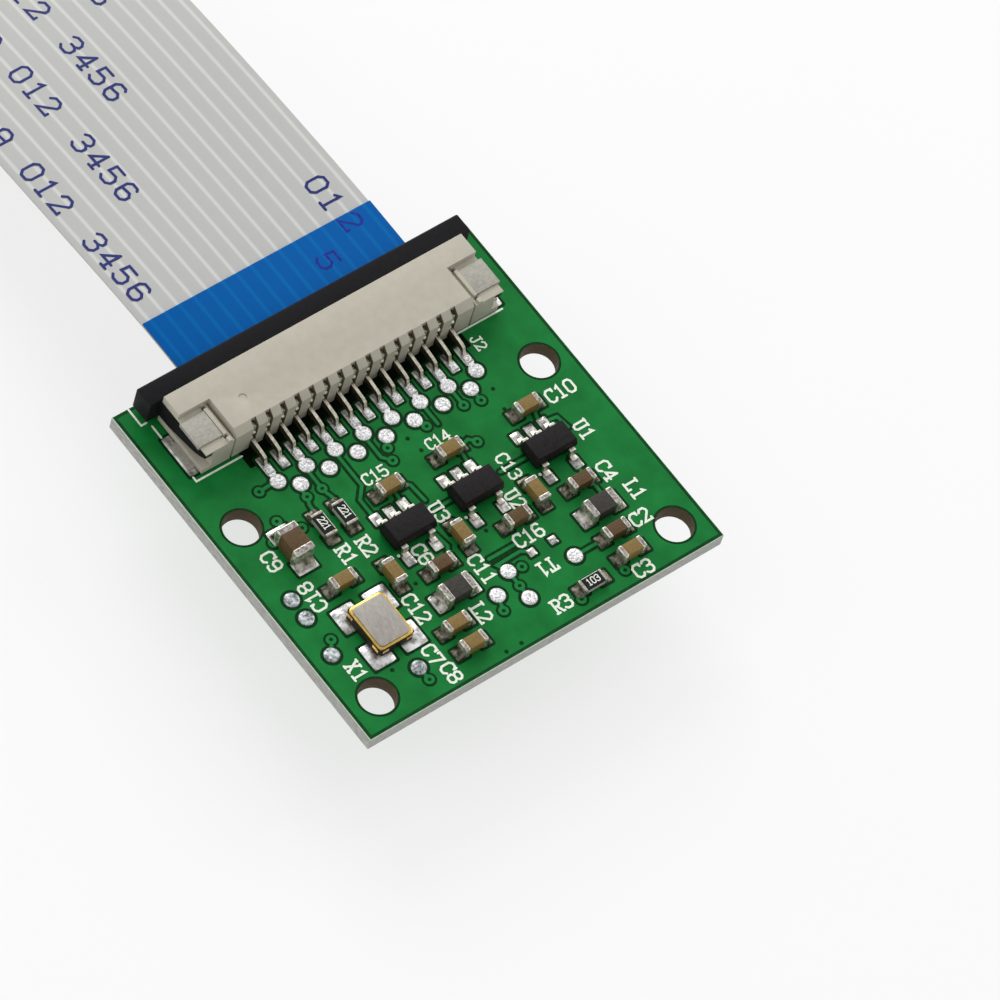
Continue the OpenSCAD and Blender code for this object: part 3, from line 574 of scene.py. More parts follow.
def circle(x, y, r, n=22):
    return [(x + r * math.cos(2 * math.pi * i / n), y + r * math.sin(2 * math.pi * i / n)) for i in range(n)]


def slab(bm, shape, surface, base, thick):
    low = [bm.verts.new(surface(x, y, base)) for x, y in shape]
    high = [bm.verts.new(surface(x, y, base + thick)) for x, y in shape]
    bm.faces.new(low)
    bm.faces.new(high)
    for i in range(len(shape)):
        j = (i + 1) % len(shape)
        bm.faces.new((low[i], low[j], high[j], high[i]))


def disc(bm, x, y, r, surface, base, thick, n=22):
    slab(bm, circle(x, y, r, n), surface, base, thick)


def plate(bm, x, y, w, l, surface, base, thick, cut=0.06):  # a rectangle with its corners cut
    w, l = w / 2, l / 2
    shape = [(x - w + cut, y - l), (x + w - cut, y - l), (x + w, y - l + cut), (x + w, y + l - cut),
             (x + w - cut, y + l), (x - w + cut, y + l), (x - w, y + l - cut), (x - w, y - l + cut)]
    slab(bm, shape, surface, base, thick)


board = {
    "edgeGap": 0.15,  # how far inside the edge its dark line runs, and how wide it is
    "edgeLine": 0.16,
    "holes": [(x, y) for x in (-10.5, 10.5) for y in (-10, 2.5)],
    "holeWallShade": 1.3,  # a side face this near a hole's middle is its wall
    "holeRing": (1.2, 0.12),  # radius and width
    "trackWidth": 0.2,
    "trackGap": 0.17,
    "viaRadius": 0.3,
    "viaGap": 0.14,
    "viaRing": (0.21, 0.18),
    "viaHole": 0.10,
    "pinhole": 0.13,
    "padGap": 0.15,
    "padCut": 0.1,
    "bareSpotShadowed": (12.5, 17.95),  # no copper under the contacts' legs, and the shadow of the housing and legs painted there near black
    "bareSizeShadowed": (15.6, 1.3),
    "rise": 0.00005,  # each stroke is this much higher than the last, so that no two are level
}
heights = {  # how high each kind of gap or copper is
    "bare": 0.003, "edge": 0.004, "holeRing": 0.006, "trackGap": 0.008, "viaGap": 0.009, "padGap": 0.0095,
    "pinhole": 0.01, "discGap": 0.0185, "track": 0.02, "via": 0.024, "viaHole": 0.026,
}

# tracks and vias, in mm from the board's corner
tracks = [
    [(5.1, 15.9), (4.2, 15.85)],
    [(6.3, 15.0), (6.3, 14.2), (6.1, 13.7), (6.05, 13.0)],
    [(7.35, 15.7), (7.35, 14.0), (7.5, 13.5), (7.5, 13.0)],
    [(9.38, 15.8), (9.38, 13.2), (8.72, 12.5), (8.72, 11.3)],
    [(11.42, 15.8), (11.42, 14.1), (11.85, 13.6)],
    [(12.4, 15.0), (12.1, 14.4)],
    [(14.5, 15.0), (14.85, 14.4)],
    [(15.5, 15.8), (15.5, 14.2)],
    [(17.5, 15.8), (17.5, 14.4)],
    [(18.55, 15.0), (18.55, 14.15)],
    [(15.6, 12.3), (16.35, 12.5), (16.7, 12.1)],
    [(15.4, 11.2), (15.55, 12.2)],
    [(11.3, 12.3), (11.75, 11.8), (11.85, 10.6)],
    [(10.65, 11.2), (10.75, 12.2)],
    [(20.5, 11.3), (20.8, 12.2)],
    [(20.6, 11.2), (21.6, 11.05), (21.75, 10.2)],
    [(11.9, 9.85), (13.6, 9.85)],
    [(16.6, 9.85), (18.6, 9.85)],
    [(11.0, 8.6), (11.15, 7.6), (10.8, 7.1)],
    [(15.6, 8.4), (15.9, 7.4)],
    [(20.6, 8.5), (20.6, 7.2)],
    [(20.7, 7.0), (20.7, 5.3)],
    [(12.6, 5.7), (14.4, 5.7)],
    [(13.05, 4.6), (12.75, 5.15), (14.4, 5.2), (15.0, 4.85)],
    [(13.05, 4.4), (13.05, 2.6)],
    [(11.6, 3.6), (11.3, 2.65)],
    [(16.9, 3.35), (19.3, 3.35)],
    [(19.3, 2.0), (18.85, 1.7), (18.75, 1.15)],
    [(15.7, 1.4), (15.5, 0.95)],
    [(1.4, 5.4), (1.95, 6.2)],
    [(5.05, 2.2), (5.1, 1.35)],
    [(3.9, 13.8), (4.0, 13.0)],
    [(2.9, 12.8), (3.6, 12.9)],
    [(4.85, 12.75), (4.3, 12.9)],
]
vias = [(4.2, 15.85), (6.3, 14.2), (7.35, 14.2), (11.85, 13.6), (12.1, 14.4), (14.85, 14.4), (17.5, 14.4),
        (18.55, 14.15), (16.7, 12.1), (3.9, 13.8), (2.9, 12.8), (4.85, 12.75), (1.95, 6.2), (5.1, 1.35),
        (11.3, 2.65), (13.05, 3.45), (13.9, 4.35), (15.5, 0.95), (18.75, 1.15)]
pinholes = [(13.45, 14.3), (19.6, 14.4), (13.65, 13.3), (19.35, 13.0), (9.85, 0.5), (10.9, 0.5), (3.7, 2.9),
            (8.15, 6.6), (13.6, 7.25)]
underVias = [(4.2, 15.85), (6.3, 14.2), (7.35, 14.2), (11.85, 13.6), (16.7, 12.1), (1.95, 6.2), (5.1, 1.35),
             (15.5, 0.95), (18.75, 1.15), (3.7, 2.9), (19.6, 14.4)]
underTracks = [
    [(4.2, 15.85), (4.2, 12.0), (6.0, 10.2), (8.2, 7.6)],
    [(6.3, 14.2), (5.2, 12.5), (5.2, 11.2), (7.6, 7.6)],
    [(16.7, 12.1), (18.8, 11.2), (18.8, 8.4), (17.2, 6.8)],
    [(1.95, 6.2), (3.2, 5.0), (8.4, 5.0)],
    [(21.1, 5.0), (19.8, 4.6), (17.0, 4.6)],
    [(21.1, 2.6), (19.6, 2.0), (18.75, 1.15)],
]


def makeBoard(s, h):
    def side(face):  # 0 the faces, 1 the cut edge, 2 the holes' walls, painted dark as shade, 3 the eased top rim, painted pale as a highlight
        c = face.calc_center_median() / mm
        if abs(face.normal.z) > 0.95:
            return 0
        # upward-facing rim faces take the painted highlight
        if face.normal.z > 0.3 and max(abs(c.x) / boardHalf[0], abs(c.y) / boardHalf[1]) > 0.99:
            return 3
        return 2 if any(math.hypot(c.x - x, c.y - y) < s["holeWallShade"] for x, y in s["holes"]) else 1

    softEdges("circuit_board", "board", [solderMask, boardSide, holeWallShade, boardRimHighlight], 0.035, 1,
              pick=side)
    dark, copper, rim, bare = (bmesh.new() for _ in range(4))
    rise = 0.0
    w, l = (half - s["edgeGap"] for half in boardHalf)
    for surface, lines, rings, dots in ((onTop, tracks, vias, pinholes),
                                        (onUnderside, underTracks, underVias, [])):
        layPath(rim, [(-w, -l), (w, -l), (w, l), (-w, l)], s["edgeLine"], surface, 0, h["edge"], closed=True)
        for x, y in s["holes"]:
            ring = circle(x, y, s["holeRing"][0], 36)
            layPath(dark, ring, s["holeRing"][1], surface, 0, h["holeRing"], closed=True)
        for line in lines:
            rise += s["rise"]
            line = [onBoard(*p) for p in line]
            layPath(dark, line, s["trackWidth"] + 2 * s["trackGap"], surface, 0, h["trackGap"] + rise)
            layPath(copper, line, s["trackWidth"], surface, 0, h["track"] + rise)
        for x, y in rings:
            rise += s["rise"]
            x, y = onBoard(x, y)
            disc(dark, x, y, s["viaRadius"] + s["viaGap"], surface, 0, h["viaGap"] + rise)
            ring = circle(x, y, s["viaRing"][0])
            layPath(copper, ring, s["viaRing"][1], surface, 0, h["via"] + rise, closed=True)
            disc(dark, x, y, s["viaHole"], surface, 0, h["viaHole"] + rise, 12)
        for x, y in dots:
            disc(dark, *onBoard(x, y), s["pinhole"], surface, 0, h["pinhole"], 12)
    for x, y, w, l, _, _ in islands("component_lands"):
        rise += s["rise"]
        plate(dark, x, y, w + 2 * s["padGap"], l + 2 * s["padGap"], onTop, 0, h["padGap"] + rise, s["padCut"])
    for x, y, w, l, _, _ in islands("test_pads"):
        disc(dark, x, y, w / 2 + s["padGap"] * 1.1, onTop, 0, h["discGap"])
    # the strip under the legs is bare of copper and painted near black as the housing's and legs' shadow
    plate(bare, *onBoard(*s["bareSpotShadowed"]), *s["bareSizeShadowed"], onTop, 0, h["bare"])
    asPiece("bare_strip_with_painted_shadow_under_legs", bare, [maskShadowUnderLegs])
    asPiece("mask_gaps", dark, [maskShade])
    asPiece("masked_copper", copper, [maskTrace])
    asPiece("copper_edge_line", rim, [maskEdge])


makeBoard(board, heights)
print("board made")


strokes = {  # on a grid 4 wide and 6 high
    "0": [[(1, 0), (0, 1.2), (0, 4.8), (1, 6), (3, 6), (4, 4.8), (4, 1.2), (3, 0), (1, 0)]],
    "1": [[(0.8, 5), (2, 6), (2, 0)], [(0.7, 0), (3.3, 0)]],
    "2": [[(0, 4.8), (1, 6), (3, 6), (4, 4.9), (4, 4), (0, 0), (4, 0), (4, 0.9)]],
    "3": [[(0, 5.2), (1, 6), (3, 6), (4, 5), (4, 4), (3, 3.2), (1.6, 3.2)],
          [(3, 3.2), (4, 2.4), (4, 1), (3, 0), (1, 0), (0, 0.8)]],
    "4": [[(3, 0), (3, 6)], [(3, 6), (0, 2), (4, 2)], [(2, 0), (4, 0)]],
    "5": [[(3.8, 6), (0.4, 6), (0.2, 3.4), (3, 3.6), (4, 2.6), (4, 1), (3, 0), (1, 0), (0, 0.8)]],
    "6": [[(3.6, 5.4), (3, 6), (1, 6), (0, 4.8), (0, 1.2), (1, 0)],
          [(1, 0), (3, 0), (4, 1), (4, 2.4), (3, 3.3), (0.2, 3)]],
    "7": [[(0, 5.2), (0, 6), (4, 6), (1.6, 0)]],
    "8": [[(1, 3.2), (0, 4.1), (0, 5.1), (1, 6), (3, 6), (4, 5.1), (4, 4.1), (3, 3.2), (1, 3.2)],
          [(1, 3.2), (0, 2.2), (0, 1), (1, 0), (3, 0), (4, 1), (4, 2.2), (3, 3.2)]],
    "9": [[(0.4, 0.6), (1, 0), (3, 0), (4, 1.2), (4, 4.8), (3, 6)],
          [(3, 6), (1, 6), (0, 5), (0, 3.6), (1, 2.7), (3.8, 3)]],
    "C": [[(4, 4.7), (4, 6)], [(4, 5), (3, 6), (1.2, 6), (0, 4.8), (0, 1.2), (1.2, 0), (3, 0), (4, 1.2)]],
    "R": [[(0, 0), (1.5, 0)], [(0, 6), (3, 6), (4, 5), (4, 4), (3, 3.1), (0.7, 3.1)], [(0.7, 6), (0.7, 0)],
          [(2, 3.1), (3.5, 0), (4.2, 0)]],
    "L": [[(0, 6), (1.8, 6)], [(0.9, 6), (0.9, 0)], [(0, 0), (4, 0), (4, 1.3)]],
    "U": [[(0, 6), (1.5, 6)], [(2.7, 6), (4, 6)], [(0.6, 6), (0.6, 1), (1.4, 0), (2.8, 0), (3.5, 1), (3.5, 6)]],
    "X": [[(0.4, 6), (3.6, 0)], [(3.6, 6), (0.4, 0)], [(0, 6), (1.2, 6)], [(2.8, 6), (4, 6)],
          [(0, 0), (1.2, 0)], [(2.8, 0), (4, 0)]],
    "J": [[(1.6, 6), (4, 6)], [(2.9, 6), (2.9, 1), (2.1, 0), (1, 0), (0, 1), (0, 1.8)]],
    "D": [[(0, 0), (2.6, 0), (4, 1.4), (4, 4.6), (2.6, 6), (0, 6)], [(0.7, 0), (0.7, 6)]],
    "T": [[(0, 4.8), (0, 6), (4, 6), (4, 4.8)], [(2, 6), (2, 0)], [(1.1, 0), (2.9, 0)]],
}


def write(bm, words, x, y, height, turn, surface, base, weight,
          thick=0.012, mirror=1, squeeze=1.0, pitch=5.4, step=0.0009):
    # each stroke is a step higher than the last, so that none lies level with another
    unit = height / 6
    c, s = math.cos(math.radians(turn)), math.sin(math.radians(turn))
    start = -((len(words) - 1) * pitch + 4) / 2
    lift = 0.0
    for i, letter in enumerate(words):
        for line in strokes[letter]:
            lift += step
            path = []
            for gx, gy in line:
                u, v = (gx + start + i * pitch) * unit * squeeze * mirror, (gy - 3) * unit
                path.append((x + u * c - v * s, y + u * s + v * c))
            closed = path[0] == path[-1]
            layPath(bm, path[:-1] if closed else path, weight, surface, base, thick + lift, closed)


legend = {
    "height": 0.82,
    "weight": 0.14,
    "squeeze": 0.9,
    "smaller": {"J2": 0.76, "C14": 0.82, "C15": 0.84, "C13": 0.9},
    "over": 0.01,  # the ink starts this far above the mask, and this far underneath
    "under": 0.004,
    "thick": 0.012,
    "outline": 0.12,
    "pinMark": 0.1,
    "bracket": (0.45, 1.4, 0.13),  # round the lens holder: gap, arm and width
}
# words, where they stand on the board, and which way they read
labels = [
    ("C10", 22.8, 12.3, 0), ("C14", 14.85, 13.35, 0), ("C15", 10.4, 13.35, 0), ("C16", 15.45, 5.75, 0),
    ("C2", 21.6, 3.4, 0), ("C3", 19.7, 0.7, 0), ("R3", 14.35, 1.3, 0), ("J2", 20.75, 17.25, -90),
    ("C13", 17.25, 9.9, -90), ("U3", 12.05, 9.6, -90), ("U2", 16.25, 8.0, -90), ("U1", 22.4, 9.6, -90),
    ("C6", 9.6, 7.9, -90), ("C4", 21.85, 6.8, -90), ("C11", 11.9, 5.4, -90), ("C12", 7.2, 5.3, -90),
    ("L1", 22.5, 5.0, -90), ("L2", 10.15, 3.2, -90), ("X1", 1.95, 3.9, -90), ("R1", 5.95, 10.1, -90),
    ("R2", 7.25, 9.95, -90), ("C9", 2.1, 11.9, -90), ("C18", 2.7, 8.9, 90), ("T1", 15.1, 3.6, 180),
    ("C7", 6.2, 2.5, -90), ("C8", 6.4, 1.05, -90),
]
outlines = [  # corners printed round the connector
    [(1.6, 18.5), (1.6, 18.2), (4.75, 18.2)], [(20.1, 18.35), (23.3, 18.35)], [(1.6, 21.5), (1.6, 22.35)],
    [(1.45, 22.7), (1.1, 22.7), (1.1, 23.9)],
]
pinMarks = [(8.4, 8.5), (13.15, 8.5), (18.45, 8.55)]
underLabels = [("D1", 23.2, 5.8, 90), ("R4", 18.9, 3.35, 0), ("J1", 7.2, 5.8, 0)]


def makeLegend(s):
    ink = bmesh.new()
    for words, x, y, turn in labels:
        size = s["smaller"].get(words, 1)
        write(ink, words, *onBoard(x, y), s["height"] * size, turn, onTop, s["over"], s["weight"] * size,
              squeeze=s["squeeze"])
    for line in outlines:
        layPath(ink, [onBoard(*p) for p in line], s["outline"], onTop, s["over"], s["thick"])
    for x, y in pinMarks:
        disc(ink, *onBoard(x, y), s["pinMark"], onTop, s["over"], s["thick"], 12)
    asPiece("legend", ink, [legendInk])
    under = bmesh.new()
    for words, x, y, turn in underLabels:
        write(under, words, *onBoard(x, y), s["height"], turn, onUnderside, s["under"], s["weight"], mirror=-1)
    lx, ly, lw, ll, _, _ = nodeBox("lens_holder")
    gap, arm, width = s["bracket"]
    for sx in (-1, 1):
        for sy in (-1, 1):
            cx, cy = lx + sx * (lw / 2 + gap), ly + sy * (ll / 2 + gap)
            corner = [(cx - sx * arm, cy), (cx, cy), (cx, cy - sy * arm)]
            layPath(under, corner, width, onUnderside, s["under"], s["thick"])
    asPiece("legend_underneath", under, [legendInk])


makeLegend(legend)
print("lettering printed")


solder = {
    "unevenness": 0.2,
    "overlap": 0.05,  # a land this far under a chip counts as its own
    "byCrystal": (2, 2.3),  # lands this near the crystal's middle are bright
    "rowDepth": 1.5,  # lands this far below the row of contacts are plain,
    "plainBeyond": 9,  # and so are lands further out than this
    "landHeight": 0.07,
    "swell": (0.7, 1.1),  # a small land's share of that height, and a large one's
    "largeLand": 1.2,
    "discHeight": 0.055,
    "shadedDiscs": -7.2,  # discs to the left of this are painted darker, as shade
    "foot": (0.5, 0.62, 0.28, 0.1),  # width, length, how far in its middle is, height
    "neck": (0.42, 0.6, 0.16, 0.05),  # width, length, how far out its middle is, height
}
contactBoxes = islands("connector_contacts")


def pillow(x, y, w, l, z0, z1, height, uneven, n=7):  # a land with a soft hump of solder
    bm = bmesh.new()
    top, low = [], []
    lean = (chance.uniform(-1, 1) * uneven, chance.uniform(-1, 1) * uneven)
    for i in range(n + 1):
        u = -1 + 2 * i / n
        for j in range(n + 1):
            v = -1 + 2 * j / n
            swell = (1 - abs(u) ** 5) * (1 - abs(v) ** 5)
            z = z1 - 0.01 + height * swell * (1 + lean[0] * u + lean[1] * v + chance.uniform(-1, 1) * uneven)
            r = 1 - 0.04 * (abs(u) ** 6) * (abs(v) ** 6)
            top.append(bm.verts.new(point(x + u * w / 2 * r, y + v * l / 2 * r, z)))
            low.append(bm.verts.new(point(x + u * w / 2 * r, y + v * l / 2 * r, z0)))
    m = n + 1
    for i in range(n):
        for j in range(n):
            q = [i * m + j, (i + 1) * m + j, (i + 1) * m + j + 1, i * m + j + 1]
            bm.faces.new([top[k] for k in q])
    rim = [i * m for i in range(m)] + [n * m + j for j in range(1, m)]
    rim += [i * m + n for i in range(n - 1, -1, -1)] + list(range(n - 1, 0, -1))
    for a, b in zip(rim, rim[1:] + rim[:1]):
        bm.faces.new((top[a], top[b], low[b], low[a]))
    bm.faces.new([low[k] for k in rim])
    bmesh.ops.delete(bm, geom=[v for v in bm.verts if not v.link_faces], context="VERTS")
    return bm


def blob(x, y, r, z0, z1, height, uneven, n=20):  # a round pad with a low dome of solder
    bm = bmesh.new()
    dome = [(0.94, 0.5), (0.8, 0.9), (0.6, 1), (0.4, 1), (0.2, 1)]  # shares of the radius and of the height
    rings = [(1, z0), (1, z1 - 0.01)] + [(share, z1 + height * up) for share, up in dome]
    lean = (chance.uniform(-1, 1) * uneven, chance.uniform(-1, 1) * uneven)
    made = []
    for k, (share, z) in enumerate(rings):
        ring = []
        for i in range(n):
            a = 2 * math.pi * i / n
            jig, tip = 1, 0
            if k > 1:
                jig += chance.uniform(-0.03, 0.03)
                tilt = (lean[0] * math.cos(a) + lean[1] * math.sin(a)) * share
                tip = (z - z1) * (tilt + chance.uniform(-1, 1) * uneven)
            out = r * share * jig
            ring.append(bm.verts.new(point(x + out * math.cos(a), y + out * math.sin(a), z + tip)))
        made.append(ring)
    for a, b in zip(made, made[1:]):
        for i in range(n):
            j = (i + 1) % n
            bm.faces.new((a[i], a[j], b[j], b[i]))
    bm.faces.new(made[0][::-1])
    tip = bm.verts.new(point(x, y, z1 + height))
    for i in range(n):
        bm.faces.new((made[-1][i], made[-1][(i + 1) % n], tip))
    return bm


def fillet(out, width, height, n=6):  # solder drawn up a chip's end; starts at x=0 and runs to x=out
    bm = bmesh.new()
    cols = []
    for i in range(n + 1):
        u = i / n
        column = []
        for j in range(n + 1):
            v = -1 + 2 * j / n
            half = width / 2 * (1 - 0.10 * u ** 3)
            z = height * (1 - u) ** 1.8 * (1 - 0.45 * abs(v) ** 2.5) + 0.05 * (1 - u ** 3) * (1 - abs(v) ** 4)
            z *= 1 + chance.uniform(-0.06, 0.06)
            x, y = u * out, v * half
            column.append((bm.verts.new(point(x, y, max(z, 0.004))), bm.verts.new(point(x, y, 0))))
        cols.append(column)
    for i in range(n):
        for j in range(n):
            a, b, c, d = cols[i][j], cols[i + 1][j], cols[i + 1][j + 1], cols[i][j + 1]
            bm.faces.new((a[0], b[0], c[0], d[0]))
            bm.faces.new((a[1], d[1], c[1], b[1]))
    for i in range(n):
        for j in (0, n):
            a, b = cols[i][j], cols[i + 1][j]
            bm.faces.new((a[0], a[1], b[1], b[0]))
    for j in range(n):
        for i in (0, n):
            a, b = cols[i][j], cols[i][j + 1]
            bm.faces.new((a[0], a[1], b[1], b[0]))
    return bm


def solderEnds(bm, x, y, z, turn, length, out, width, height, tone=0, hanging=False):  # both ends of a chip
    flip = Matrix.Diagonal((1, 1, -1 if hanging else 1, 1))
    for side in (0, 180):
        place = turned(x, y, z, turn + side) @ turned(length / 2 - 0.01, 0, 0) @ flip
        merge(bm, fillet(out, width, height), tone, place)


def makeSolder(s):
    uneven = s["unevenness"]
    bm = bmesh.new()
    crystalX, crystalY = nodeBox("crystal_base")[:2]
    chipBoxes = [nodeBox(n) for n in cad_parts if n.startswith(("capacitor_", "resistor_"))]
    for x, y, w, l, z0, z1 in islands("component_lands"):
        underChip = any(abs(x - cx) < (w + cw) / 2 - s["overlap"] and abs(y - cy) < (l + cl) / 2 - s["overlap"]
                        for cx, cy, cw, cl, _, _ in chipBoxes)
        byCrystal = abs(x - crystalX) < s["byCrystal"][0] and abs(y - crystalY) < s["byCrystal"][1]
        plain = y < contactBoxes[0][1] - s["rowDepth"] or abs(x) > s["plainBeyond"]
        tone = 2 if underChip else 3 if byCrystal else 1 if plain else 0  # places in the finishes below
        height = s["landHeight"] * s["swell"][min(w, l) > s["largeLand"]]
        merge(bm, pillow(x, y, w, l, z0, z1, height, uneven), tone)
    width, length, inward, height = s["foot"]
    for x, y, w, l, _, _ in contactBoxes:
        foot = pillow(x, y - l / 2 + inward, width, length, topZ + 0.05, topZ + 0.14, height, uneven)
        merge(bm, foot)
    piece = asPiece("soldered_lands", bm, [solderTin, landTin, filletTinShaded, brightTin], angle=60)
    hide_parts("component_lands")
    bm = bmesh.new()
    for x, y, w, l, z0, z1 in islands("test_pads"):
        merge(bm, blob(x, y, w / 2, z0, z1, s["discHeight"], uneven), 1 if x < s["shadedDiscs"] else 0)
    width, length, outward, height = s["neck"]
    for x, y, w, l, _, _ in contactBoxes[::2]:  # every other foot's solder runs on into its disc
        neck = pillow(x, y - l / 2 - outward, width, length, topZ + 0.03, topZ + 0.06, height, uneven, n=5)
        merge(bm, neck)
    piece = asPiece("soldered_discs", bm, [solderTin, discTinShaded], angle=60)
    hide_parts("test_pads")


makeSolder(solder)
print("solder laid")


chips = {
    "endProud": 0.022,  # how far the tinned ends stand out from the body
    "softBody": 0.05,  # how far the body's edges are eased, and the ends'
    "softEnd": 0.10,
    "dullInset": (0.15, 0.16),  # the dull patch on an end is this much shorter and narrower than the end
    "dullProud": 0.004,
    "glazeInset": 0.03,  # the same for the black glaze on a resistor
    "glazeProud": 0.006,
    "filletShare": 0.42,  # how far up a chip's end the solder is drawn
    "brownOnes": ("capacitor_7", "capacitor_8", "capacitor_9", "capacitor_10"),
    "numbers": {"resistor_1": "221", "resistor_2": "221", "resistor_3": "103"},
}
chipKinds = {  # by the start of a node's name: end is its length, reach is how far the solder runs out
    "capacitor_": {"body": tanCeramic, "ends": capTin, "dull": capDull, "slot": "tan_ceramic",
                   "end": 0.31, "reach": 0.35, "tone": 0},
    "large_capacitor": {"body": brownCeramic, "ends": capTin, "dull": capDull, "slot": "tan_ceramic",
                        "end": 0.46, "reach": 0.5, "tone": 1},
    "inductor_": {"body": darkFerrite, "ends": capTin, "dull": capDull, "slot": "ferrite",
                  "end": 0.42, "reach": 0.45, "tone": 1},
    "resistor_": {"body": whiteCeramic, "ends": resistorEnd, "glaze": blackGlaze, "slot": "resistor_black",
                  "end": 0.2, "reach": 0.25, "tone": 0},
    "indicator_resistor": {"body": blackGlaze, "ends": capTin, "slot": "resistor_black",
                           "end": 0.3, "reach": 0.35, "tone": 0},
}
chipNumbers = {"height": 0.5, "weight": 0.06, "thick": 0.006, "squeeze": 0.8, "over": 0.004,
               "rule": (0.03, 0.004), "margin": (0.04, 0.05)}  # the rule's width and thickness, and where it stops


def numberChip(node, digits, x, y, turn, length, width, top, s):
    def onChip(px, py, out):
        return point(px, py, top + s["over"] + out)

    ink = bmesh.new()
    write(ink, digits, x, y, width * s["height"], turn - (180 if turn else 0), onChip, 0, s["weight"],
          thick=s["thick"], squeeze=s["squeeze"])
    long, wide = length / 2 - s["margin"][0], width / 2 - s["margin"][1]
    rule = [(x + wide, y - long), (x + wide, y + long)] if turn else [(x - long, y + wide), (x + long, y + wide)]
    layPath(ink, rule, s["rule"][0], onChip, 0, s["rule"][1])
    asPiece(node + "_numbers", ink, [legendInk])


def makeChip(node, kind, fillets, s):
    x, y, w, l, z0, z1 = nodeBox(node)
    turn = 90 if l > w else 0
    length, width, height = max(w, l), min(w, l), z1 - z0
    body = brownCeramic if node in s["brownOnes"] else kind["body"]
    glaze, dull, end, p = kind.get("glaze"), kind.get("dull"), kind["end"], s["endProud"]
    bm = bmesh.new()
    at = turned(x, y, 0, turn)
    merge(bm, block(length - 2 * p, width - 2 * p, z0 + p, z1 - p, s["softBody"]), 0, at)
    for side in (-1, 1):
        over = at @ turned(side * (length - end) / 2, 0, 0)
        merge(bm, block(end, width, z0, z1, s["softEnd"] * min(1, height / 0.8), 3), 1, over)
        if dull:
            along, across = s["dullInset"]
            merge(bm, block(end - along, width - across, z1 - 0.02, z1 + s["dullProud"], 0.01, 1), 2, over)
    if glaze:
        between, across = length - 2 * end + 0.02, width - s["glazeInset"]
        merge(bm, block(between, across, z1 - 0.1, z1 + s["glazeProud"], 0.01, 1), 2, at)
    tones = [body, kind["ends"]] + [tone for tone in (glaze, dull) if tone]
    piece = asPiece(node + "_chip", bm, tones, angle=40)
    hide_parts(node)
    if node in s["numbers"]:
        numberChip(node, s["numbers"][node], x, y, turn, length - 2 * end, width, z1, chipNumbers)
    hanging = z1 < topZ
    solderEnds(fillets, x, y, z1 if hanging else z0, turn, length, kind["reach"], width * 0.98,
               height * s["filletShare"], kind["tone"], hanging)


def makeChips(s):
    fillets = bmesh.new()
    for node in sorted(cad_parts):
        kind = next((chipKinds[start] for start in chipKinds if node.startswith(start)), None)
        if kind:
            makeChip(node, kind, fillets, s)
    # the chips' solder is painted dark as shade, tone 0 darker and tone 1 lighter
    asPiece("chip_solder", fillets, [filletTinShaded, filletPaleShaded], angle=60)


makeChips(chips)
print("chips placed")


crystal = {
    "strip": 0.5,  # width of the gold on each side, by the corners
    "endStrip": 0.4,
    "stripProud": 0.012,
    "stripDrop": 0.2,  # how far down it runs from the ring
    "inset": 0.42,  # how far its middle is from the corner
}


def makeCrystalStrips(s):
    x, y, w, l, _, _ = nodeBox("crystal_base")
    ringLow = nodeBox("crystal_ring")[4]
    low, high, proud = ringLow - s["stripDrop"], ringLow + 0.01, s["stripProud"]
    strips = bmesh.new()
    for sx in (-1, 1):
        for sy in (-1, 1):
            merge(strips, block(proud * 2, s["strip"], low, high, 0.005, 1), 0,
                  turned(x + sx * w / 2, y + sy * (l / 2 - s["inset"]), 0))
            merge(strips, block(s["endStrip"], proud * 2, low, high, 0.005, 1), 0,
                  turned(x + sx * (w / 2 - s["inset"]), y + sy * l / 2, 0))
    asPiece("crystal_side_strips", strips, [goldPlate])


for i in (1, 2, 3):
    dress([(f"regulator_{i}_body", f"regulator_{i}_package", packageBlack, "chip_moulding", 0.035, 2),
           (f"regulator_{i}_leads", f"regulator_{i}_tinned_leads", leadTin, "tinned_leads", 0.025, 2)])
dress([("crystal_base", "crystal_ceramic", darkCeramic, "dark_ceramic", 0.03, 2),
       ("crystal_ring", "crystal_gold_ring", goldPlate, "gold_ring", 0.03, 2),
       ("crystal_lid", "crystal_nickel_lid", lidNickel, "lid_metal", 0.03, 2)])
makeCrystalStrips(crystal)
print("regulators and crystal placed")


connector = {
    "slotSide": 0.6,  # how far past the end contacts the comb goes
    "slotDepth": 2.4,  # how far behind the contacts' middle
    "slotTop": 0.05,  # how far below the top its walls are painted with shade
    "top": nodeBox("connector_housing")[5],
}


def inShadedSlot(face):  # the comb's inner side walls between the contacts get a darker ivory, painted shade
    c, s = face.calc_center_median() / mm, connector
    inRow = contactBoxes[0][0] - s["slotSide"] < c.x < contactBoxes[-1][0] + s["slotSide"]
    inside = inRow and c.y < contactBoxes[0][1] + s["slotDepth"] and c.z < s["top"] - s["slotTop"]
    return sideFacingShaded(face) if inside else 0


def sideFacingShaded(face):  # faces that look to the left or right, which take the darker, painted-shade finish
    return 1 if abs(face.normal.x) > 0.9 else 0


softEdges("connector_housing", "connector_ivory_body", [ivoryMoulding, ivorySlotPaintedShade], 0.02, 2,
          pick=inShadedSlot)
# the left and right faces of the contacts are their cut edges, painted dark as shade too
softEdges("connector_contacts", "connector_tinned_contacts", [contactTin, contactSidesShaded], 0.012, 1,
          pick=sideFacingShaded)
softEdges("connector_nails", "connector_holding_nails", [nailTin], 0.03, 2)
softEdges("connector_slider", "connector_black_slider", [blackMoulding], 0.05, 2, body="slider")
print("connector fitted")

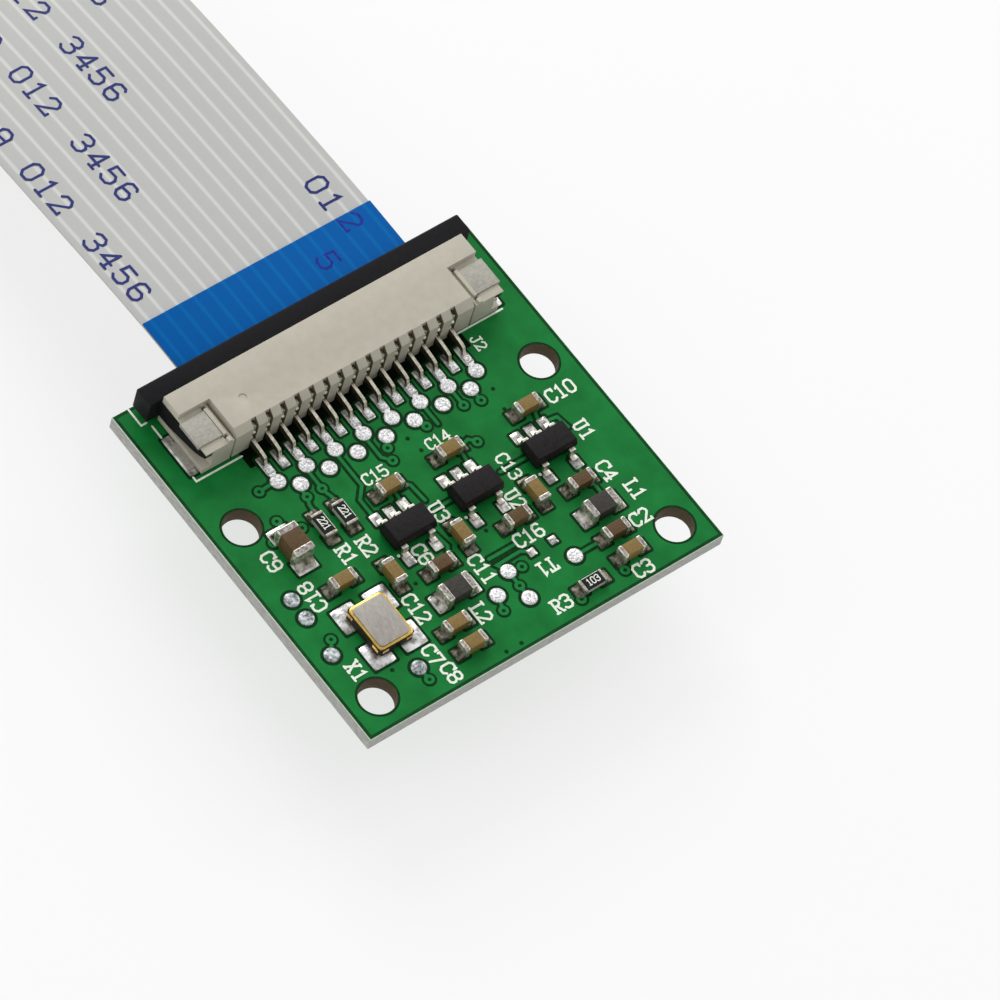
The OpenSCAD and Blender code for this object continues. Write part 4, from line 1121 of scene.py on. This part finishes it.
dress([("foam_pad", "foam_under_camera", foamDark, "dark_foam", 0.04, 2),
       ("sensor_board", "sensor_carrier", amberBoard, "amber_board", 0.02, 1),
       ("image_sensor", "sensor_chip", sensorSilicon, "sensor_die", 0.01, 1),
       ("infrared_filter", "filter_pane", filterGlass, "filter_glass", 0.02, 1),
       ("lens_holder", "lens_holder_shell", holderBlack, "holder_black", 0.06, 2),
       ("lens_barrel", "lens_barrel_shell", barrelBlack, "barrel_black", 0.04, 2),
       ("lens_front", "glass_front", lensGlass, "lens_glass", 0, 2),
       ("lens_middle", "glass_middle", lensGlass, "lens_glass", 0, 2),
       ("lens_rear", "glass_rear", lensGlass, "lens_glass", 0, 2),
       ("camera_flex", "flex_strip", amberFilm, "amber_flex", 0.02, 1),
       ("flex_plug", "flex_plug_body", plugBlack, "plug_black", 0.04, 2),
       ("flex_socket", "flex_socket_body", socketCream, "socket_cream", 0.04, 2)])

indicator = {
    "base": 0.32,  # how thick its pale base is, and how long the base's tinned ends are
    "end": 0.28,
    "fillet": (0.3, 0.95, 0.18),  # how far out, share of the width, height
}
socketTails = {"count": 15, "pitch": 0.4, "width": 0.2, "length": 0.34, "thick": 0.09, "out": 0.1}


def makeUnderside(s, tails):
    x, y, w, l, _, high = nodeBox("indicator_light")

    def lampFace(face):  # resin dome on a pale base with tinned ends
        c = face.calc_center_median() / mm
        if c.z < high - s["base"]:
            return 0
        return 2 if abs(c.x - x) > w / 2 - s["end"] else 1

    softEdges("indicator_light", "lamp", [lampResin, whiteCeramic, capTin], 0.04, 2, pick=lampFace)
    bm = bmesh.new()
    out, share, height = s["fillet"]
    solderEnds(bm, x, y, underZ, 0, w, out, l * share, height, hanging=True)
    x, y, w, l, _, _ = nodeBox("flex_socket")
    for k in range(tails["count"]):
        for side in (-1, 1):
            tail = block(tails["width"], tails["length"], underZ - tails["thick"], underZ, 0.02, 1)
            along = (k - (tails["count"] - 1) / 2) * tails["pitch"]
            merge(bm, tail, 0, turned(x + along, y + side * (l / 2 + tails["out"]), 0))
    asPiece("solder_underneath", bm, [leadTin], angle=60)


makeUnderside(indicator, socketTails)
print("camera head dressed")


cablePrint = {
    "height": 1.25,
    "weight": 0.17,
    "pitch": 6.5,
    "rows": [(-6.84, 19.45), (-3.26, 25.4), (0.40, 31.4), (4.0, 37.4)],  # across, where each line starts
    "words": [("3456", 0.0), ("012", 6.55), ("789", 12.2), ("34567", 19.6), ("012", 27.0)],  # digits, how far on
    "repeat": 34.5,  # the line comes again and again, up to the free end
    "lastAt": 144,
    "loose": [("01", 6.13, 17.3)],
    "covered": [("2", 6.2, 14.9), ("5", 3.49, 13.5)],  # showing through the blue film
}


def makeCablePrint(s):
    ink, veiled = bmesh.new(), bmesh.new()

    def onFilm(x, y, out):
        return onCable(x, y, cable["thickness"] / 2 + out)

    def onBlue(x, y, out):
        return onCable(x, y, nearStiffener["top"] + out)

    marks = list(s["loose"])
    for x, start in s["rows"]:
        for words, on in s["words"]:
            y = start + on
            while y < s["lastAt"]:
                marks.append((words, x, y))
                y += s["repeat"]
    height, weight, pitch = s["height"], s["weight"], s["pitch"]
    for words, x, y in marks:
        write(ink, words, x, y, height, -90, onFilm, 0.002, weight, thick=0.008, pitch=pitch)
    for words, x, y in s["covered"]:
        write(veiled, words, x, y, height, -90, onBlue, -0.004, weight, thick=0.006, pitch=pitch)
    asPiece("cable_print", ink, [printBlue])
    asPiece("cable_print_under_blue", veiled, [printVeiled])


makeCablePrint(cablePrint)
print("cable printed")
